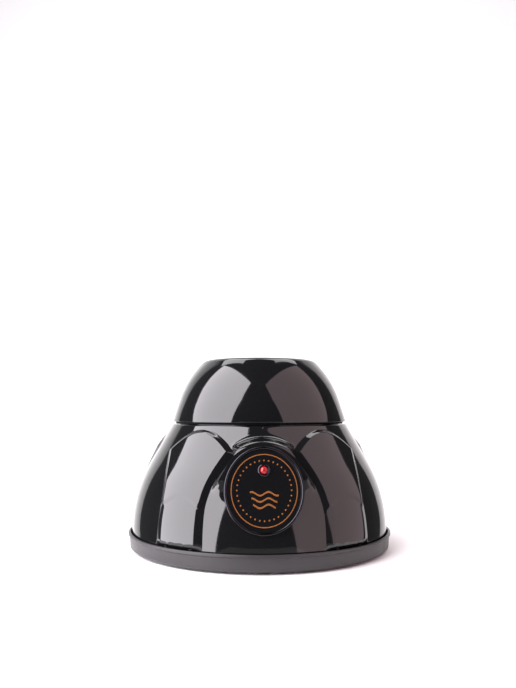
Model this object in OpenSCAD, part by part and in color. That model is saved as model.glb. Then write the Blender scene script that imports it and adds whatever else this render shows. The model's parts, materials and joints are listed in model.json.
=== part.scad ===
// Desk shaker for small bottles: a two-part dome on a tray, with a cup in its top.
// Pressing the cup down starts a motor whose crank pin swirls the cup.
// Millimetres. Z points up, the badge looks along -Y, and z = 0 is the table.

/* [Lower dome] */
// Height where the side of the dome starts to lean in
shoulder_z = 9.5; // [9:0.25:11]
// Radius of the rounded side, seen from the side
side_r = 66; // [64:0.5:68]
// Lean of the straight part under the seam, in degrees
side_lean = 29.5; // [29:0.25:30.5]
// Height of the seam between the two domes
seam_z = 61.5; // [61:0.25:63]
// Wall of both domes
wall = 3; // [2.8:0.1:3.4]

/* [Arch panels] */
// Number of arch panels round the dome
arches = 5; // [5:1:5]
// Height of an arch's top
arch_top_z = 58; // [57:0.25:58.5]
// Height where an arch is widest
arch_wide_z = 47; // [46:0.25:48]
// Half of an arch's widest angle, in degrees
arch_half = 21.5; // [20:0.5:22.5]
// Half of the stem's angle under an arch, in degrees
stem_half = 11.4; // [10.5:0.1:12]
// Height where the sides of an arch meet its stem
crease_z = 24; // [22:0.5:26]
// How far the top of the stem rises over the crease
crease_rise = 5; // [4:0.5:6]
// Depth of an arch's face
arch_depth = 1.7; // [1.4:0.1:1.8]
// Depth of a stem's face
stem_depth = 1.2; // [1:0.1:1.3]
// Slope of the panel edges from square, in degrees
edge_slope = 60; // [52:1:64]

/* [Upper dome] */
// How far the upper dome's foot stands out past the top of the lower dome
seam_step = 0.4; // [0.2:0.1:0.6]
// Lean of the upper dome just above the seam, in degrees
cap_lean = 17.7; // [17:0.1:18.5]
// Length of the straight part above the seam, measured upright
cap_straight = 10; // [9:0.5:11]
// Radius of the upper dome's curve, seen from the side
cap_curve_r = 48; // [46:0.5:50]
// Lean of the upper dome just under its rim, in degrees
rim_lean = 42; // [40:0.5:44]
// Length of the leaning part under the rim
rim_straight = 1.7; // [1:0.1:2.5]
// Radius that rounds the rim into the flat top
rim_round = 5; // [4:0.25:6]
// Width of the flat top between the mouth and its rounded edge
plateau_w = 3; // [2.5:0.1:4]
// Depth of the lip that turns down inside the mouth
lip_depth = 6; // [4:0.5:8]
// Height of the dark groove at the seam
groove = 1; // [0.8:0.1:1.2]

/* [Base tray] */
// Thickness of the tray's flared rim
rim_wall = 1.1; // [1:0.1:1.6]
// Gap between the dome and the tray's rim
rim_gap = 0.7; // [0.5:0.1:0.8]
// Height of the tray's rim over the table
rim_z = 8.5; // [8:0.25:9]
// Thickness of the tray's floor
floor_t = 2.5; // [2.2:0.1:3]
// Height of the tray's underside over the table
foot_gap = 1; // [0.8:0.1:1.4]
// How far inside the dome's foot the feet and base screws stand
screw_inset = 8.2; // [8:0.1:8.6]
// Radius of a rubber foot
foot_r = 6; // [5:0.25:7]
// Length of a base screw's boss in the dome
base_boss_h = 16; // [12:1:18]
// Radius of a moulded boss
boss_r = 4; // [3.6:0.1:4.1]

/* [Ballast] */
// Gap between the steel plate and the circle through the base screws
ballast_gap = 9.3; // [8.5:0.1:11]
// Thickness of the steel plate
ballast_t = 4; // [3:0.5:5]
// Straight side of the plate, behind the axis
ballast_flat_y = 24; // [22:0.5:25]

/* [Badge] */
// Width of the badge ring
badge_w = 34.4; // [32:0.2:35]
// Height of the badge ring
badge_h = 37.4; // [35:0.2:38]
// Width of the metal ring's band
ring_w = 1.3; // [1:0.1:1.8]
// Height of the badge's centre over the table
badge_z = 34; // [33:0.25:35]
// Backward lean of the badge, in degrees
badge_tilt = 14; // [13:0.5:16]
// How far the badge's seat stands off the dome at its centre
badge_lift = 0.6; // [0.4:0.1:1]
// Radius of the raised round the badge sits on
badge_boss_r = 22.8; // [22:0.1:23.5]
// Radius that rounds the edge of that round
badge_boss_round = 2.8; // [2:0.1:3]
// Distance of the lamp above the badge's centre
lamp_up = 8.4; // [7:0.2:9]
// Radius of the lamp's lens
lamp_r = 1.75; // [1.5:0.05:2]
// Radius of the lamp's bezel
lamp_bezel_r = 2.8; // [2.6:0.05:3]

/* [Slide] */
// Radius of the circle through the guide posts
post_ring_r = 29; // [28.5:0.25:29.5]
// Radius of a guide post
post_r = 2; // [1.8:0.1:2.2]
// How far a guide post's top end is under the seam
post_drop = 4; // [3.5:0.25:5]
// Travel of the cup when it is pressed
press = 2.5; // [2:0.25:2.5]
// Length of a guide sleeve
sleeve_h = 23; // [21:0.5:24]
// Wall of a guide sleeve round its bushes
sleeve_wall = 1.6; // [1.4:0.1:1.8]
// Wall of a bush
bush_wall = 1; // [0.8:0.1:1.2]
// Length of a bush
bush_h = 6; // [5:0.5:8]
// Height of the post bosses over the tray's floor
post_boss_h = 10.5; // [9:0.5:12]
// Wire radius of a return spring
wire_r = 0.4; // [0.3:0.05:0.5]
// Turns of a return spring
spring_turns = 7; // [5:1:8]

/* [Motor] */
// Radius of the motor can
motor_r = 13.85; // [13.5:0.05:14]
// Length of the motor can
motor_h = 36; // [34:0.5:37]
// Radius of the motor's front boss
motor_boss_r = 5; // [4.5:0.1:5.5]
// Radius of the motor shaft
shaft_r = 1.15; // [1:0.05:1.5]
// Distance between the motor's two screws
motor_screw_pitch = 16; // [15:0.5:17]
// Thickness of the cradle's plate
cradle_plate_t = 2.5; // [2:0.1:3]
// Wall of the cradle's skirt
cradle_wall = 2.2; // [1.8:0.1:2.4]
// Depth of the cradle's skirt
cradle_skirt_h = 16; // [12:1:18]

/* [Crank] */
// Distance of the crank pin from the motor's axis
throw = 2; // [1.5:0.1:2]
// Radius of the crank pin
pin_r = 3; // [3:0.1:3]
// Radius of the hub
hub_r = 6; // [5.5:0.1:6.5]
// Height of the hub
hub_h = 8; // [7:0.25:8.5]
// Radius of the counterweight
weight_r = 14; // [12:0.5:15]
// Thickness of the counterweight
weight_t = 4.5; // [4:0.25:5]
// Outer radius of the ball bearing
bearing_r = 9.5; // [9.5:0.1:9.5]
// Width of the ball bearing
bearing_w = 6; // [6:0.1:6]
// Number of balls
balls = 7; // [6:1:7]
// Radius of a ball
ball_r = 1.6; // [1.5:0.05:1.7]

/* [Cup] */
// Outer radius of the rubber cup
cup_r = 19.8; // [19.5:0.1:20]
// Gap between the cup and the mouth at the end of the cup's swirl
mouth_gap = 1.4; // [1.2:0.1:2]
// How far the cup's rim is under the top of the dome
cup_sink = 0.9; // [0.5:0.1:1.5]
// Wall of the cup round the socket that holds a bottle
socket_wall = 2.8; // [2.5:0.1:3.3]
// Depth of the socket's round wall
socket_h = 4.5; // [4:0.25:5]
// How much narrower the tapered pocket is at its floor than the socket
pocket_taper = 4; // [3:0.25:5]
// Thickness of the pocket's floor
cup_floor_t = 2; // [1.5:0.1:2.5]
// Number of grip ribs in the pocket
grip_ribs = 12; // [8:1:16]
// Thickness of the carrier's flange
flange_t = 2.5; // [2:0.1:3]

/* [Controls] */
// Height of the power inlet's axis over the table
jack_z = 17; // [16.5:0.25:18]
// Radius of the power inlet's barrel
jack_r = 3.95; // [3.9:0.05:4.1]
// Radius of the inlet's socket
jack_socket_r = 2.8; // [2.75:0.05:2.9]
// Radius of the inlet's centre pin
jack_pin_r = 1; // [0.8:0.05:1.2]
// Height of the rocker switch over the table
rocker_z = 40; // [39:0.25:40.5]
// Width of the rocker's frame
rocker_w = 10.5; // [10:0.1:11]
// Height of the rocker's frame
rocker_h = 15; // [14.5:0.1:15.5]
// Angle that the rocker key turns from off to on
rocker_turn = 14; // [10:1:16]

/* [Hidden] */
$fn = 64;
gap = 0.2;
fit_gap = 0.05;
press_gap = 0.02;
reach = 120;
eps = 0.01;

function unit(v) = v / norm(v);

// ---- radii of the domes, worked out from the cup outwards ----
mouth_r = cup_r + throw + mouth_gap;
cap_r = mouth_r + plateau_w + rim_round * cos(rim_lean) + rim_straight * sin(rim_lean)
    + cap_curve_r * (cos(cap_lean) - cos(rim_lean)) + cap_straight * tan(cap_lean);
seam_r = cap_r - seam_step;
lean_z = shoulder_z + side_r * sin(side_lean);
dome_r = seam_r + side_r * (1 - cos(side_lean)) + (seam_z - lean_z) * tan(side_lean);
socket_r = cup_r - socket_wall;
pocket_r = socket_r - pocket_taper;

// ---- lines of the lower dome ----
floor_z = foot_gap + floor_t;
side_axis = [dome_r - side_r, shoulder_z];
function dome_radius(z) =
    z < shoulder_z ? dome_r
    : z < lean_z ? side_axis.x + sqrt(side_r * side_r - pow(z - shoulder_z, 2))
    : side_axis.x + side_r * cos(side_lean) - (z - lean_z) * tan(side_lean);
function dome_lean(z) =
    z < shoulder_z ? 0 : z < lean_z ? asin((z - shoulder_z) / side_r) : side_lean;
function dome_point(a, z) =
    [dome_radius(z) * cos(a), dome_radius(z) * sin(a), z];
function dome_normal(a, z) =
    [cos(a) * cos(dome_lean(z)), sin(a) * cos(dome_lean(z)), sin(dome_lean(z))];
arch_step = 360 / arches;
rear = 90;
front = 270;
seam_inner_r = seam_r - wall / cos(side_lean);
screw_ring_r = dome_r - screw_inset;

// ---- lines of the upper dome ----
cap_z = seam_z + groove;
cap_straight_top = [cap_r - cap_straight * tan(cap_lean), cap_z + cap_straight];
cap_axis = cap_straight_top - cap_curve_r * [cos(cap_lean), sin(cap_lean)];
rim_start = cap_axis + cap_curve_r * [cos(rim_lean), sin(rim_lean)];
round_start = rim_start + rim_straight * [-sin(rim_lean), cos(rim_lean)];
round_axis = round_start - rim_round * [cos(rim_lean), sin(rim_lean)];
top_z = round_axis.y + rim_round;
cup_top_z = top_z - cup_sink;
spigot_r = seam_inner_r - gap;
spigot_wall = 2;
spigot_h = 5;
cap_boss_angles = [60, 180, 300];
cap_boss_ring_r = spigot_r - 5;
cap_tab_z = seam_z - 15.5;
cap_tab_t = 3.5;
lip_wall = 2.2;

// ---- stack of the slide and the crank, upwards ----
slide_angles = [0, 120, 240];
post_top_z = seam_z - post_drop;
sleeve_top_z = post_top_z - gap;
sleeve_bottom_z = sleeve_top_z - sleeve_h;
bush_r = post_r + fit_gap + bush_wall;
sleeve_r = bush_r + sleeve_wall;
post_boss_top_z = floor_z + post_boss_h;
cradle_top_z = sleeve_top_z - 1;
motor_top_z = cradle_top_z - cradle_plate_t;
motor_bottom_z = motor_top_z - motor_h;
hub_z = cradle_top_z + 1.7;
hub_top_z = hub_z + hub_h;
shoulder_h = 2;
bearing_z = hub_top_z + shoulder_h;
bearing_top_z = bearing_z + bearing_w;
clip_t = 0.8;
pin_top_z = bearing_top_z + 1.6;
flange_z = pin_top_z + 1.2;
flange_top_z = flange_z + flange_t;
race_inner_r = pin_r + 1.6;
race_outer_r = bearing_r - 1.7;
ball_ring_r = (race_inner_r + race_outer_r) / 2;
carrier_r = bearing_r + 2.4;
weight_z = hub_z;

// ---- microswitch ----
switch_y = 27;
switch_size = [12.8, 5.8, 6.5];
switch_z = 20.5;
switch_top_z = switch_z + switch_size.z;
lever_t = 0.4;
lever_w = 4;
lever_rise = 16.3;
lever_pivot_x = -5.4;
lever_pivot_z = switch_top_z + 1.2;
lever_pin_r = 0.3;
lever_reach = 14;
plunger_w = 1;
plunger_at = 2.8;
plunger_top_z = lever_pivot_z + (plunger_at - plunger_w / 2) * tan(lever_rise)
    - lever_t / 2 / cos(lever_rise) - 0.02;
finger_at = 10;
finger_x = lever_pivot_x + finger_at;
finger_r = 1.3;
finger_z = lever_pivot_z + finger_at * tan(lever_rise)
    + (lever_t / 2 + finger_r) / cos(lever_rise) - finger_r + 0.05;
bracket_t = 1.2;
bracket_y = switch_y + switch_size.y / 2;

// ---- rear controls ----
jack_seat_y = dome_r - 2.6;
jack_pad_r = 8;
jack_pad_t = 3.6;
jack_flange_r = 5.6;
jack_flange_t = 1.5;
jack_depth = 9;
rocker_lean = dome_lean(rocker_z);
rocker_seat_y = dome_radius(rocker_z) - arch_depth - 0.5;
rocker_pad_t = 3;
rocker_cut = [rocker_w - 2, rocker_h - 1.7];
rocker_body_d = 11;

// ================= shared shapes =================

// A round bar along the outward direction of a frame, from distance a to distance b
module bar(r, a, b) {
    translate([0, 0, a]) cylinder(r = r, h = b - a);
}

// A flat washer
module ring(r_out, r_in, z0, z1) {
    difference() {
        bar(r_out, z0, z1);
        bar(r_in, z0 - 1, z1 + 1);
    }
}

// A screw that points up: its head is under z, its shank goes up from z
module screw_up(head_r, head_h, shank_r, shank_h) {
    difference() {
        union() {
            bar(head_r, -head_h, 0);
            bar(shank_r, -eps, shank_h);
        }
        cross_slot(-head_h, head_r);
    }
}

// A cross recess that opens downwards at height z
module cross_slot(z, r) {
    for (a = [0, 90])
        rotate([0, 0, a])
            translate([-r * 0.6, -r * 0.12, z - 1])
                cube([r * 1.2, r * 0.24, 1 + r * 0.35]);
}

// Part of a disc between two heights, in the half plane of a revolve
module arc_slab(axis, r, z0, z1) {
    intersection() {
        translate(axis) circle(r = r, $fn = 180);
        translate([0, z0]) square([reach, z1 - z0]);
    }
}

// The half space past point p along direction n
module beyond(p, n) {
    translate(p)
        rotate([0, acos(unit(n).z), atan2(n.y, n.x)])
            translate([-reach, -reach, 0])
                cube([2 * reach, 2 * reach, reach]);
}

// Places children at equal turns round the axis, at radius r
module round_array(angles, r) {
    for (a = angles) rotate([0, 0, a]) translate([r, 0, 0]) children();
}

// ================= lower dome =================

// The straight lines of the side run this far inside the arc, so they cross it cleanly
nick = 0.01;

// Half section of the lower dome, set in by d, and longer at both ends by over
module dome_section(d, over = 0) {
    knee = side_axis + (side_r - d) * [cos(side_lean), sin(side_lean)];
    top = seam_z + over;
    translate([0, floor_z - over]) square([dome_r - d - nick, shoulder_z - floor_z + over]);
    arc_slab(side_axis, side_r - d, shoulder_z - 2, knee.y + 2);
    polygon([
        [0, knee.y], [knee.x - nick, knee.y],
        [knee.x - nick - (top - knee.y) * tan(side_lean), top], [0, top]
    ]);
}

module dome_body(d) {
    rotate_extrude($fn = 180) dome_section(d);
}

// Cuts away both sides of a panel: a sloping wall through two points of one edge
module panel_sides(a1, z1, a2, z2) {
    p1 = dome_point(a1, z1);
    p2 = dome_point(a2, z2);
    n = dome_normal((a1 + a2) / 2, (z1 + z2) / 2);
    out = unit(cross(unit(p2 - p1), n));
    slope = out * cos(edge_slope) - n * sin(edge_slope);
    beyond(p1, slope);
    mirror([0, 1, 0]) beyond(p1, slope);
}

// The pointed top of an arch: a cone whose axis looks outwards
module arch_cone() {
    top = dome_point(0, arch_top_z);
    side = dome_point(arch_half, arch_wide_z);
    grow = tan(side_lean + edge_slope);
    q = top.z + grow * (side.x - top.x);
    axis_z = (q * q - side.z * side.z - side.y * side.y) / (2 * (q - side.z));
    tip_x = top.x - (top.z - axis_z) / grow;
    depth = dome_r + 5 - tip_x;
    translate([tip_x, 0, axis_z])
        rotate([0, 90, 0])
            cylinder(h = depth, r1 = 0, r2 = depth * grow, $fn = 180);
}

// The rounded top of the stem's face, which stands out of the arch's face
module stem_head() {
    half = dome_point(stem_half, crease_z).y;
    r = (half * half + crease_rise * crease_rise) / (2 * crease_rise);
    z = crease_z + crease_rise - r;
    face_x = dome_radius(crease_z) - stem_depth;
    slope = tan(edge_slope);
    translate([face_x - 10, 0, z])
        rotate([0, 90, 0])
            cylinder(h = 18, r1 = r + 10 * slope, r2 = r - 8 * slope, $fn = 120);
    translate([0, -reach, z - reach]) cube([reach, 2 * reach, reach]);
}

module arch_cut() {
    difference() {
        arch_cone();
        panel_sides(stem_half, crease_z, arch_half, arch_wide_z);
        stem_head();
    }
}

module stem_cut() {
    difference() {
        translate([dome_r - 20, -reach / 4, floor_z - 1])
            cube([30, reach / 2, crease_z + crease_rise + 1 - floor_z]);
        panel_sides(stem_half, floor_z, stem_half, crease_z);
    }
}

// Children, but only where they are outside the dome set in by d
module skin_deep(d) {
    difference() {
        children();
        dome_body(d);
    }
}

module at_badge() {
    translate([0, -dome_radius(badge_z) - badge_lift, badge_z])
        rotate([90 - badge_tilt, 0, 0])
            children();
}

// The round that carries the badge: a flat seat whose edge rolls over into a skirt
badge_boss_up = 1.2;
badge_boss_h = 14;
badge_boss_flare = 2.5;
module badge_boss() {
    roll_r = badge_boss_r - badge_boss_round;
    at_badge()
        translate([0, badge_boss_up, 0])
            rotate_extrude($fn = 120) {
                intersection() {
                    translate([roll_r, -badge_boss_round]) circle(r = badge_boss_round);
                    translate([roll_r, -badge_boss_round])
                        square(badge_boss_round);
                }
                translate([0, -badge_boss_round]) square([roll_r, badge_boss_round]);
                polygon([
                    [0, -badge_boss_h], [badge_boss_r + badge_boss_flare, -badge_boss_h],
                    [badge_boss_r, -badge_boss_round], [0, -badge_boss_round]
                ]);
            }
}

// The hollow behind it
module badge_hollow() {
    hollow_r = badge_boss_r - badge_boss_round - wall;
    at_badge()
        translate([0, badge_boss_up, -2 * badge_boss_h])
            cylinder(h = 2 * badge_boss_h - wall - 1, r = hollow_r, $fn = 120);
}

module at_jack() {
    translate([0, jack_seat_y, jack_z]) rotate([-90, 0, 0]) children();
}

module at_rocker() {
    translate([0, rocker_seat_y, rocker_z])
        rotate([-90 + rocker_lean, 0, 0])
            children();
}

screw_angles = [for (k = [0:arches - 1]) front + k * arch_step];
screw_tower_top_z = floor_z + 2.5;
pad_inset = (arch_depth + wall) / 2;

module base_boss() {
    z0 = screw_tower_top_z;
    bar(boss_r, z0, z0 + base_boss_h);
    translate([0, -1, z0]) cube([dome_r - screw_ring_r, 2, base_boss_h * 0.6]);
}

module cap_tab() {
    bar(boss_r, cap_tab_z, cap_tab_z + cap_tab_t);
    translate([0, -boss_r, cap_tab_z])
        cube([dome_radius(cap_tab_z) - cap_boss_ring_r, 2 * boss_r, cap_tab_t]);
}

// A block in the rocker's frame, centred on it
module rocker_block(w, h, down, up) {
    at_rocker() translate([-w / 2, -h / 2, -down]) cube([w, h, down + up]);
}

module dome_shell() {
    rotate_extrude($fn = 180)
        difference() {
            dome_section(0);
            dome_section(wall, 1);
        }
}

// Five recessed panels, each a wide arch on a narrower stem
module arch_panels() {
    for (k = [0:arches - 1]) rotate([0, 0, front + arch_step * (k + 0.5)]) {
        skin_deep(arch_depth) arch_cut();
        skin_deep(stem_depth) stem_cut();
    }
}

module badge_seat() {
    difference() {
        badge_boss();
        dome_body(wall - 0.6);
        arch_panels();
        translate([-reach, -reach, floor_z - reach]) cube([2 * reach, 2 * reach, reach]);
    }
}

// Screw bosses, tabs and thick pads on the inside of the wall
module inner_bosses() {
    intersection() {
        dome_body(pad_inset);
        union() {
            round_array(screw_angles, screw_ring_r) base_boss();
            round_array(cap_boss_angles, cap_boss_ring_r) cap_tab();
            at_jack() bar(jack_pad_r, -jack_pad_t, gap);
            rocker_block(rocker_w + 4, rocker_h + 4, rocker_pad_t, gap);
        }
    }
}

module screw_holes() {
    round_array(screw_angles, screw_ring_r)
        bar(1.3, screw_tower_top_z - 1, screw_tower_top_z + base_boss_h - 3);
    round_array(cap_boss_angles, cap_boss_ring_r)
        bar(1.6, cap_tab_z - 1, cap_tab_z + cap_tab_t + 1);
}

module rear_cuts() {
    at_jack() {
        bar(jack_flange_r + 0.6, 0, 10);
        bar(jack_r + fit_gap, -20, 10);
    }
    rocker_block(rocker_w + 1, rocker_h + 1, 0, 10);
    rocker_block(rocker_cut.x, rocker_cut.y, 20, 10);
}

module badge_cuts() {
    at_badge() {
        badge_oval(0, badge_seat_depth, 5);
        translate([0, lamp_up, 0]) bar(lamp_body_r + fit_gap, -badge_boss_h, 5);
        for (x = [-1, 1])
            translate([x * lamp_post_x, lamp_up, 0])
                bar(lamp_post_r + fit_gap, -badge_boss_h, -wall - 0.5);
    }
}

module lower_dome() {
    color("#141416")
        difference() {
            union() {
                difference() {
                    dome_shell();
                    arch_panels();
                }
                badge_seat();
                inner_bosses();
            }
            badge_hollow();
            screw_holes();
            rear_cuts();
            badge_cuts();
        }
}

// ================= badge and lamp =================
badge_seat_depth = 1;
ring_proud = 0.9;
lamp_body_r = 2.2;
lamp_post_x = 4.5;
lamp_post_r = 0.65;
board_back = 8.5;

// An oval plug in the badge's frame: the badge's outline set in by d
module badge_oval(d, down, up) {
    w = badge_w / 2 - d;
    h = badge_h / 2 - d;
    translate([0, 0, -down]) scale([1, h / w, 1]) cylinder(r = w, h = down + up, $fn = 120);
}

module badge_ring() {
    color("silver")
        at_badge()
            difference() {
                badge_oval(gap / 4, badge_seat_depth, ring_proud);
                badge_oval(ring_w, badge_seat_depth + 1, ring_proud + 1);
            }
}

module badge_disc() {
    color("#0c0c0e")
        at_badge()
            difference() {
                badge_oval(ring_w + gap / 4, badge_seat_depth, ring_proud - 0.5);
                translate([0, lamp_up, 0]) bar(lamp_body_r + fit_gap, -5, 5);
            }
}

module at_lamp() {
    at_badge() translate([0, lamp_up, ring_proud - 0.5]) children();
}

module lamp_bezel() {
    color("silver")
        at_lamp()
            difference() {
                union() {
                    rotate_extrude()
                        polygon([
                            [lamp_r, 0], [lamp_bezel_r, 0], [lamp_bezel_r, 0.3],
                            [lamp_bezel_r - 0.5, 0.9], [lamp_r + 0.2, 0.9], [lamp_r, 0.7]
                        ]);
                    ring(lamp_body_r, lamp_r, -4.5, eps);
                }
                bar(lamp_r + fit_gap, -10, 10);
            }
}

module lamp_lens() {
    color("red")
        at_lamp() {
            bar(lamp_r, -4, 0);
            intersection() {
                sphere(r = lamp_r);
                bar(lamp_r, -eps, lamp_r + 1);
            }
        }
}

module lamp_board() {
    color("#1d5c33")
        at_badge() translate([0, lamp_up, -board_back]) difference() {
            bar(6.5, -1.2, 0);
            for (x = [-1, 1]) translate([x * lamp_post_x, 0, 0])
                bar(lamp_post_r + fit_gap, -5, 5);
        }
    color("#1d5c33")
        at_badge() for (x = [-1, 1]) translate([x * lamp_post_x, lamp_up, -board_back])
            bar(lamp_post_r, -2, board_back - wall - 0.6);
    color("silver")
        at_badge() for (x = [-1, 1]) translate([x * 1.27 / 2, lamp_up, -board_back])
            bar(0.25, -1.8, board_back - 4 + ring_proud - 0.5);
}

// ================= base =================
tray_inner_r = dome_r + rim_gap;
tray_r = tray_inner_r + rim_wall;

module base_tray() {
    lip_z = rim_z - 1.1;
    color("#4a4a4c")
        difference() {
            union() {
                rotate_extrude($fn = 180)
                    polygon([
                        [0, foot_gap], [tray_r - 1.8, foot_gap], [tray_r - 0.9, foot_gap + 0.9],
                        [tray_r - 0.5, lip_z - 0.5], [tray_r, lip_z], [tray_r, rim_z - 0.25],
                        [tray_r - 0.25, rim_z], [tray_inner_r, rim_z], [tray_inner_r, floor_z],
                        [0, floor_z]
                    ]);
                round_array(screw_angles, screw_ring_r)
                    bar(boss_r + 0.6, floor_z - eps, screw_tower_top_z);
                round_array(slide_angles, post_ring_r)
                    bar(post_boss_r, floor_z - eps, post_boss_top_z);
                for (p = standoffs)
                    translate(p) bar(2.6, floor_z - eps, board_z);
            }
            round_array(screw_angles, screw_ring_r) {
                bar(foot_r + gap, 0, foot_gap + foot_sink);
                bar(base_head_r + 0.3, 0, base_head_z);
                bar(1.7, 0, screw_tower_top_z + 1);
            }
            round_array(slide_angles, post_ring_r)
                bar(post_r, foot_gap + 1.2, post_boss_top_z + 1);
            for (p = standoffs) translate(p) bar(0.9, foot_gap + 1.2, board_z + 1);
            round_array(ballast_screw_angles, ballast_screw_r)
                bar(1.1, foot_gap + 1, floor_z + 1);
            round_array([for (a = [0:15:345]) a], 36) vent();
            translate([0, bracket_screw_y, 0]) bar(0.9, foot_gap + 1, floor_z + 1);
        }
}

// A short slot through the floor, on a radius
module vent() {
    translate([-4, -0.8, -1]) cube([8, 1.6, foot_gap + 1 + eps]);
}

post_boss_r = 5;
foot_sink = 0.8;
base_head_r = 2.7;
base_head_z = foot_gap + foot_sink + 2;
ballast_screw_angles = [25, 180, 310];
ballast_r = screw_ring_r - ballast_gap;
ballast_screw_r = ballast_r - 5;

module rubber_feet() {
    color("#1b1b1b")
        round_array(screw_angles, screw_ring_r)
            rotate_extrude()
                polygon([
                    [0, 0], [foot_r - 0.6, 0], [foot_r, 0.6],
                    [foot_r, foot_gap + foot_sink], [0, foot_gap + foot_sink]
                ]);
}

module base_screws() {
    color("#8a8a8c")
        round_array(screw_angles, screw_ring_r)
            translate([0, 0, base_head_z])
                screw_up(base_head_r, base_head_r * 0.67, 1.25, base_boss_h - 4);
}

module ballast_plate() {
    color("#9b9da0")
        difference() {
            bar(ballast_r, floor_z, floor_z + ballast_t);
            translate([-reach, ballast_flat_y, 0]) cube([2 * reach, reach, reach]);
            round_array(slide_angles, post_ring_r)
                bar(post_boss_r + gap, 0, reach);
            round_array(ballast_screw_angles, ballast_screw_r) bar(1.4, 0, reach);
        }
}

// Pan head screws that come down onto the plate
module ballast_screws() {
    top = floor_z + ballast_t;
    color("#8a8a8c")
        round_array(ballast_screw_angles, ballast_screw_r)
            translate([0, 0, top]) rotate([180, 0, 0])
                screw_up(2.6, 1.6, 1.05, top - foot_gap - 1.2);
}

// ================= upper dome =================

module cap_section(d) {
    low = cap_axis + (cap_curve_r - d) * [cos(cap_lean), sin(cap_lean)];
    high = cap_axis + (cap_curve_r - d) * [cos(rim_lean), sin(rim_lean)];
    turn = round_axis + (rim_round - d) * [cos(rim_lean), sin(rim_lean)];
    polygon([[0, cap_z], [low.x + (low.y - cap_z) * tan(cap_lean), cap_z], low, [0, low.y]]);
    arc_slab(cap_axis, cap_curve_r - d, low.y, high.y);
    polygon([[0, high.y], high, turn, [0, turn.y]]);
    arc_slab(round_axis, rim_round - d, turn.y, top_z - d);
    translate([0, turn.y]) square([round_axis.x, top_z - d - turn.y]);
}

module upper_dome() {
    color("#141416")
        difference() {
            union() {
                rotate_extrude($fn = 180) cap_wall();
                round_array(cap_boss_angles, cap_boss_ring_r) {
                    bar(3.4, cap_tab_z + cap_tab_t, cap_z + 3);
                    translate([0, -1, seam_z - spigot_h + 0.5])
                        cube([spigot_r - 1 - cap_boss_ring_r, 2, spigot_h + 2]);
                }
            }
            round_array(cap_boss_angles, cap_boss_ring_r)
                bar(1.3, cap_tab_z, cap_tab_z + cap_tab_t + 9);
        }
}

// Half section of the upper dome's wall, its lip and the spigot under the seam
module cap_wall() {
    inner_r = spigot_r - spigot_wall;
    neck_r = cap_r - groove - 0.6;
    difference() {
        union() {
            difference() {
                cap_section(0);
                difference() {
                    cap_section(wall - 0.5);
                    translate([mouth_r, top_z - lip_depth]) square([lip_wall, reach]);
                }
            }
            polygon([
                [inner_r, seam_z - spigot_h], [spigot_r, seam_z - spigot_h],
                [spigot_r, seam_z], [neck_r, seam_z], [neck_r, cap_z + 1.2],
                [inner_r, cap_z + 1.2]
            ]);
        }
        square([mouth_r, reach]);
    }
}

module dome_screws() {
    color("#8a8a8c")
        round_array(cap_boss_angles, cap_boss_ring_r)
            translate([0, 0, cap_tab_z]) screw_up(2.7, 1.8, 1.25, cap_tab_t + 8);
}

// ================= slide =================

module guide_posts() {
    color("#b8babd")
        round_array(slide_angles, post_ring_r)
            difference() {
                bar(post_r, foot_gap + 1.2, post_top_z);
                bar(1.1, post_top_z - 8, post_top_z + 1);
            }
}

module post_washers() {
    color("#c9cacc")
        round_array(slide_angles, post_ring_r)
            ring(sleeve_r - 0.2, 1.35, post_top_z, post_top_z + 0.8);
}

module post_screws() {
    color("#8a8a8c")
        round_array(slide_angles, post_ring_r)
            translate([0, 0, post_top_z + 0.8]) rotate([180, 0, 0])
                screw_up(2.4, 1.6, 1.05, 7);
}

// Round wire wound on a helix, with its end turns laid closer
spring_r = post_r + 1.4;
spring_z0 = post_boss_top_z + wire_r + 0.05;
spring_z1 = sleeve_bottom_z - wire_r - 0.15;
wire_sides = 6;
turn_steps = 12;
spring_steps = spring_turns * turn_steps;
function spring_rise(t) =
    let (flat = 1 / spring_turns, u = (t - flat) / (1 - 2 * flat))
    t < flat ? 2 * wire_r * 1.15 * t / flat
    : t > 1 - flat ? spring_z1 - spring_z0 - 2 * wire_r * 1.15 * (1 - t) / flat
    : 2 * wire_r * 1.15 + u * (spring_z1 - spring_z0 - 4 * wire_r * 1.15);
function spring_point(i, j) =
    let (
        t = i / spring_steps,
        a = 360 * spring_turns * t,
        b = 360 * j / wire_sides,
        r = spring_r + wire_r * cos(b)
    )
    [r * cos(a), r * sin(a), spring_z0 + spring_rise(t) + wire_r * sin(b)];

// Faces of a tube whose rings of n points follow one another, m rings in all
function tube_faces(m, n) = concat(
    [for (i = [0:m - 2]) for (j = [0:n - 1])
        [i * n + j, i * n + (j + 1) % n, (i + 1) * n + j]],
    [for (i = [0:m - 2]) for (j = [0:n - 1])
        [i * n + (j + 1) % n, (i + 1) * n + (j + 1) % n, (i + 1) * n + j]],
    [for (j = [1:n - 2]) [0, j + 1, j]],
    [for (j = [1:n - 2]) [(m - 1) * n, (m - 1) * n + j, (m - 1) * n + j + 1]]
);

module return_springs() {
    points = [
        for (i = [0:spring_steps]) for (j = [0:wire_sides - 1]) spring_point(i, j)
    ];
    color("#c4c6c8")
        round_array(slide_angles, post_ring_r)
            polyhedron(points = points, faces = tube_faces(spring_steps + 1, wire_sides));
}

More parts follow.
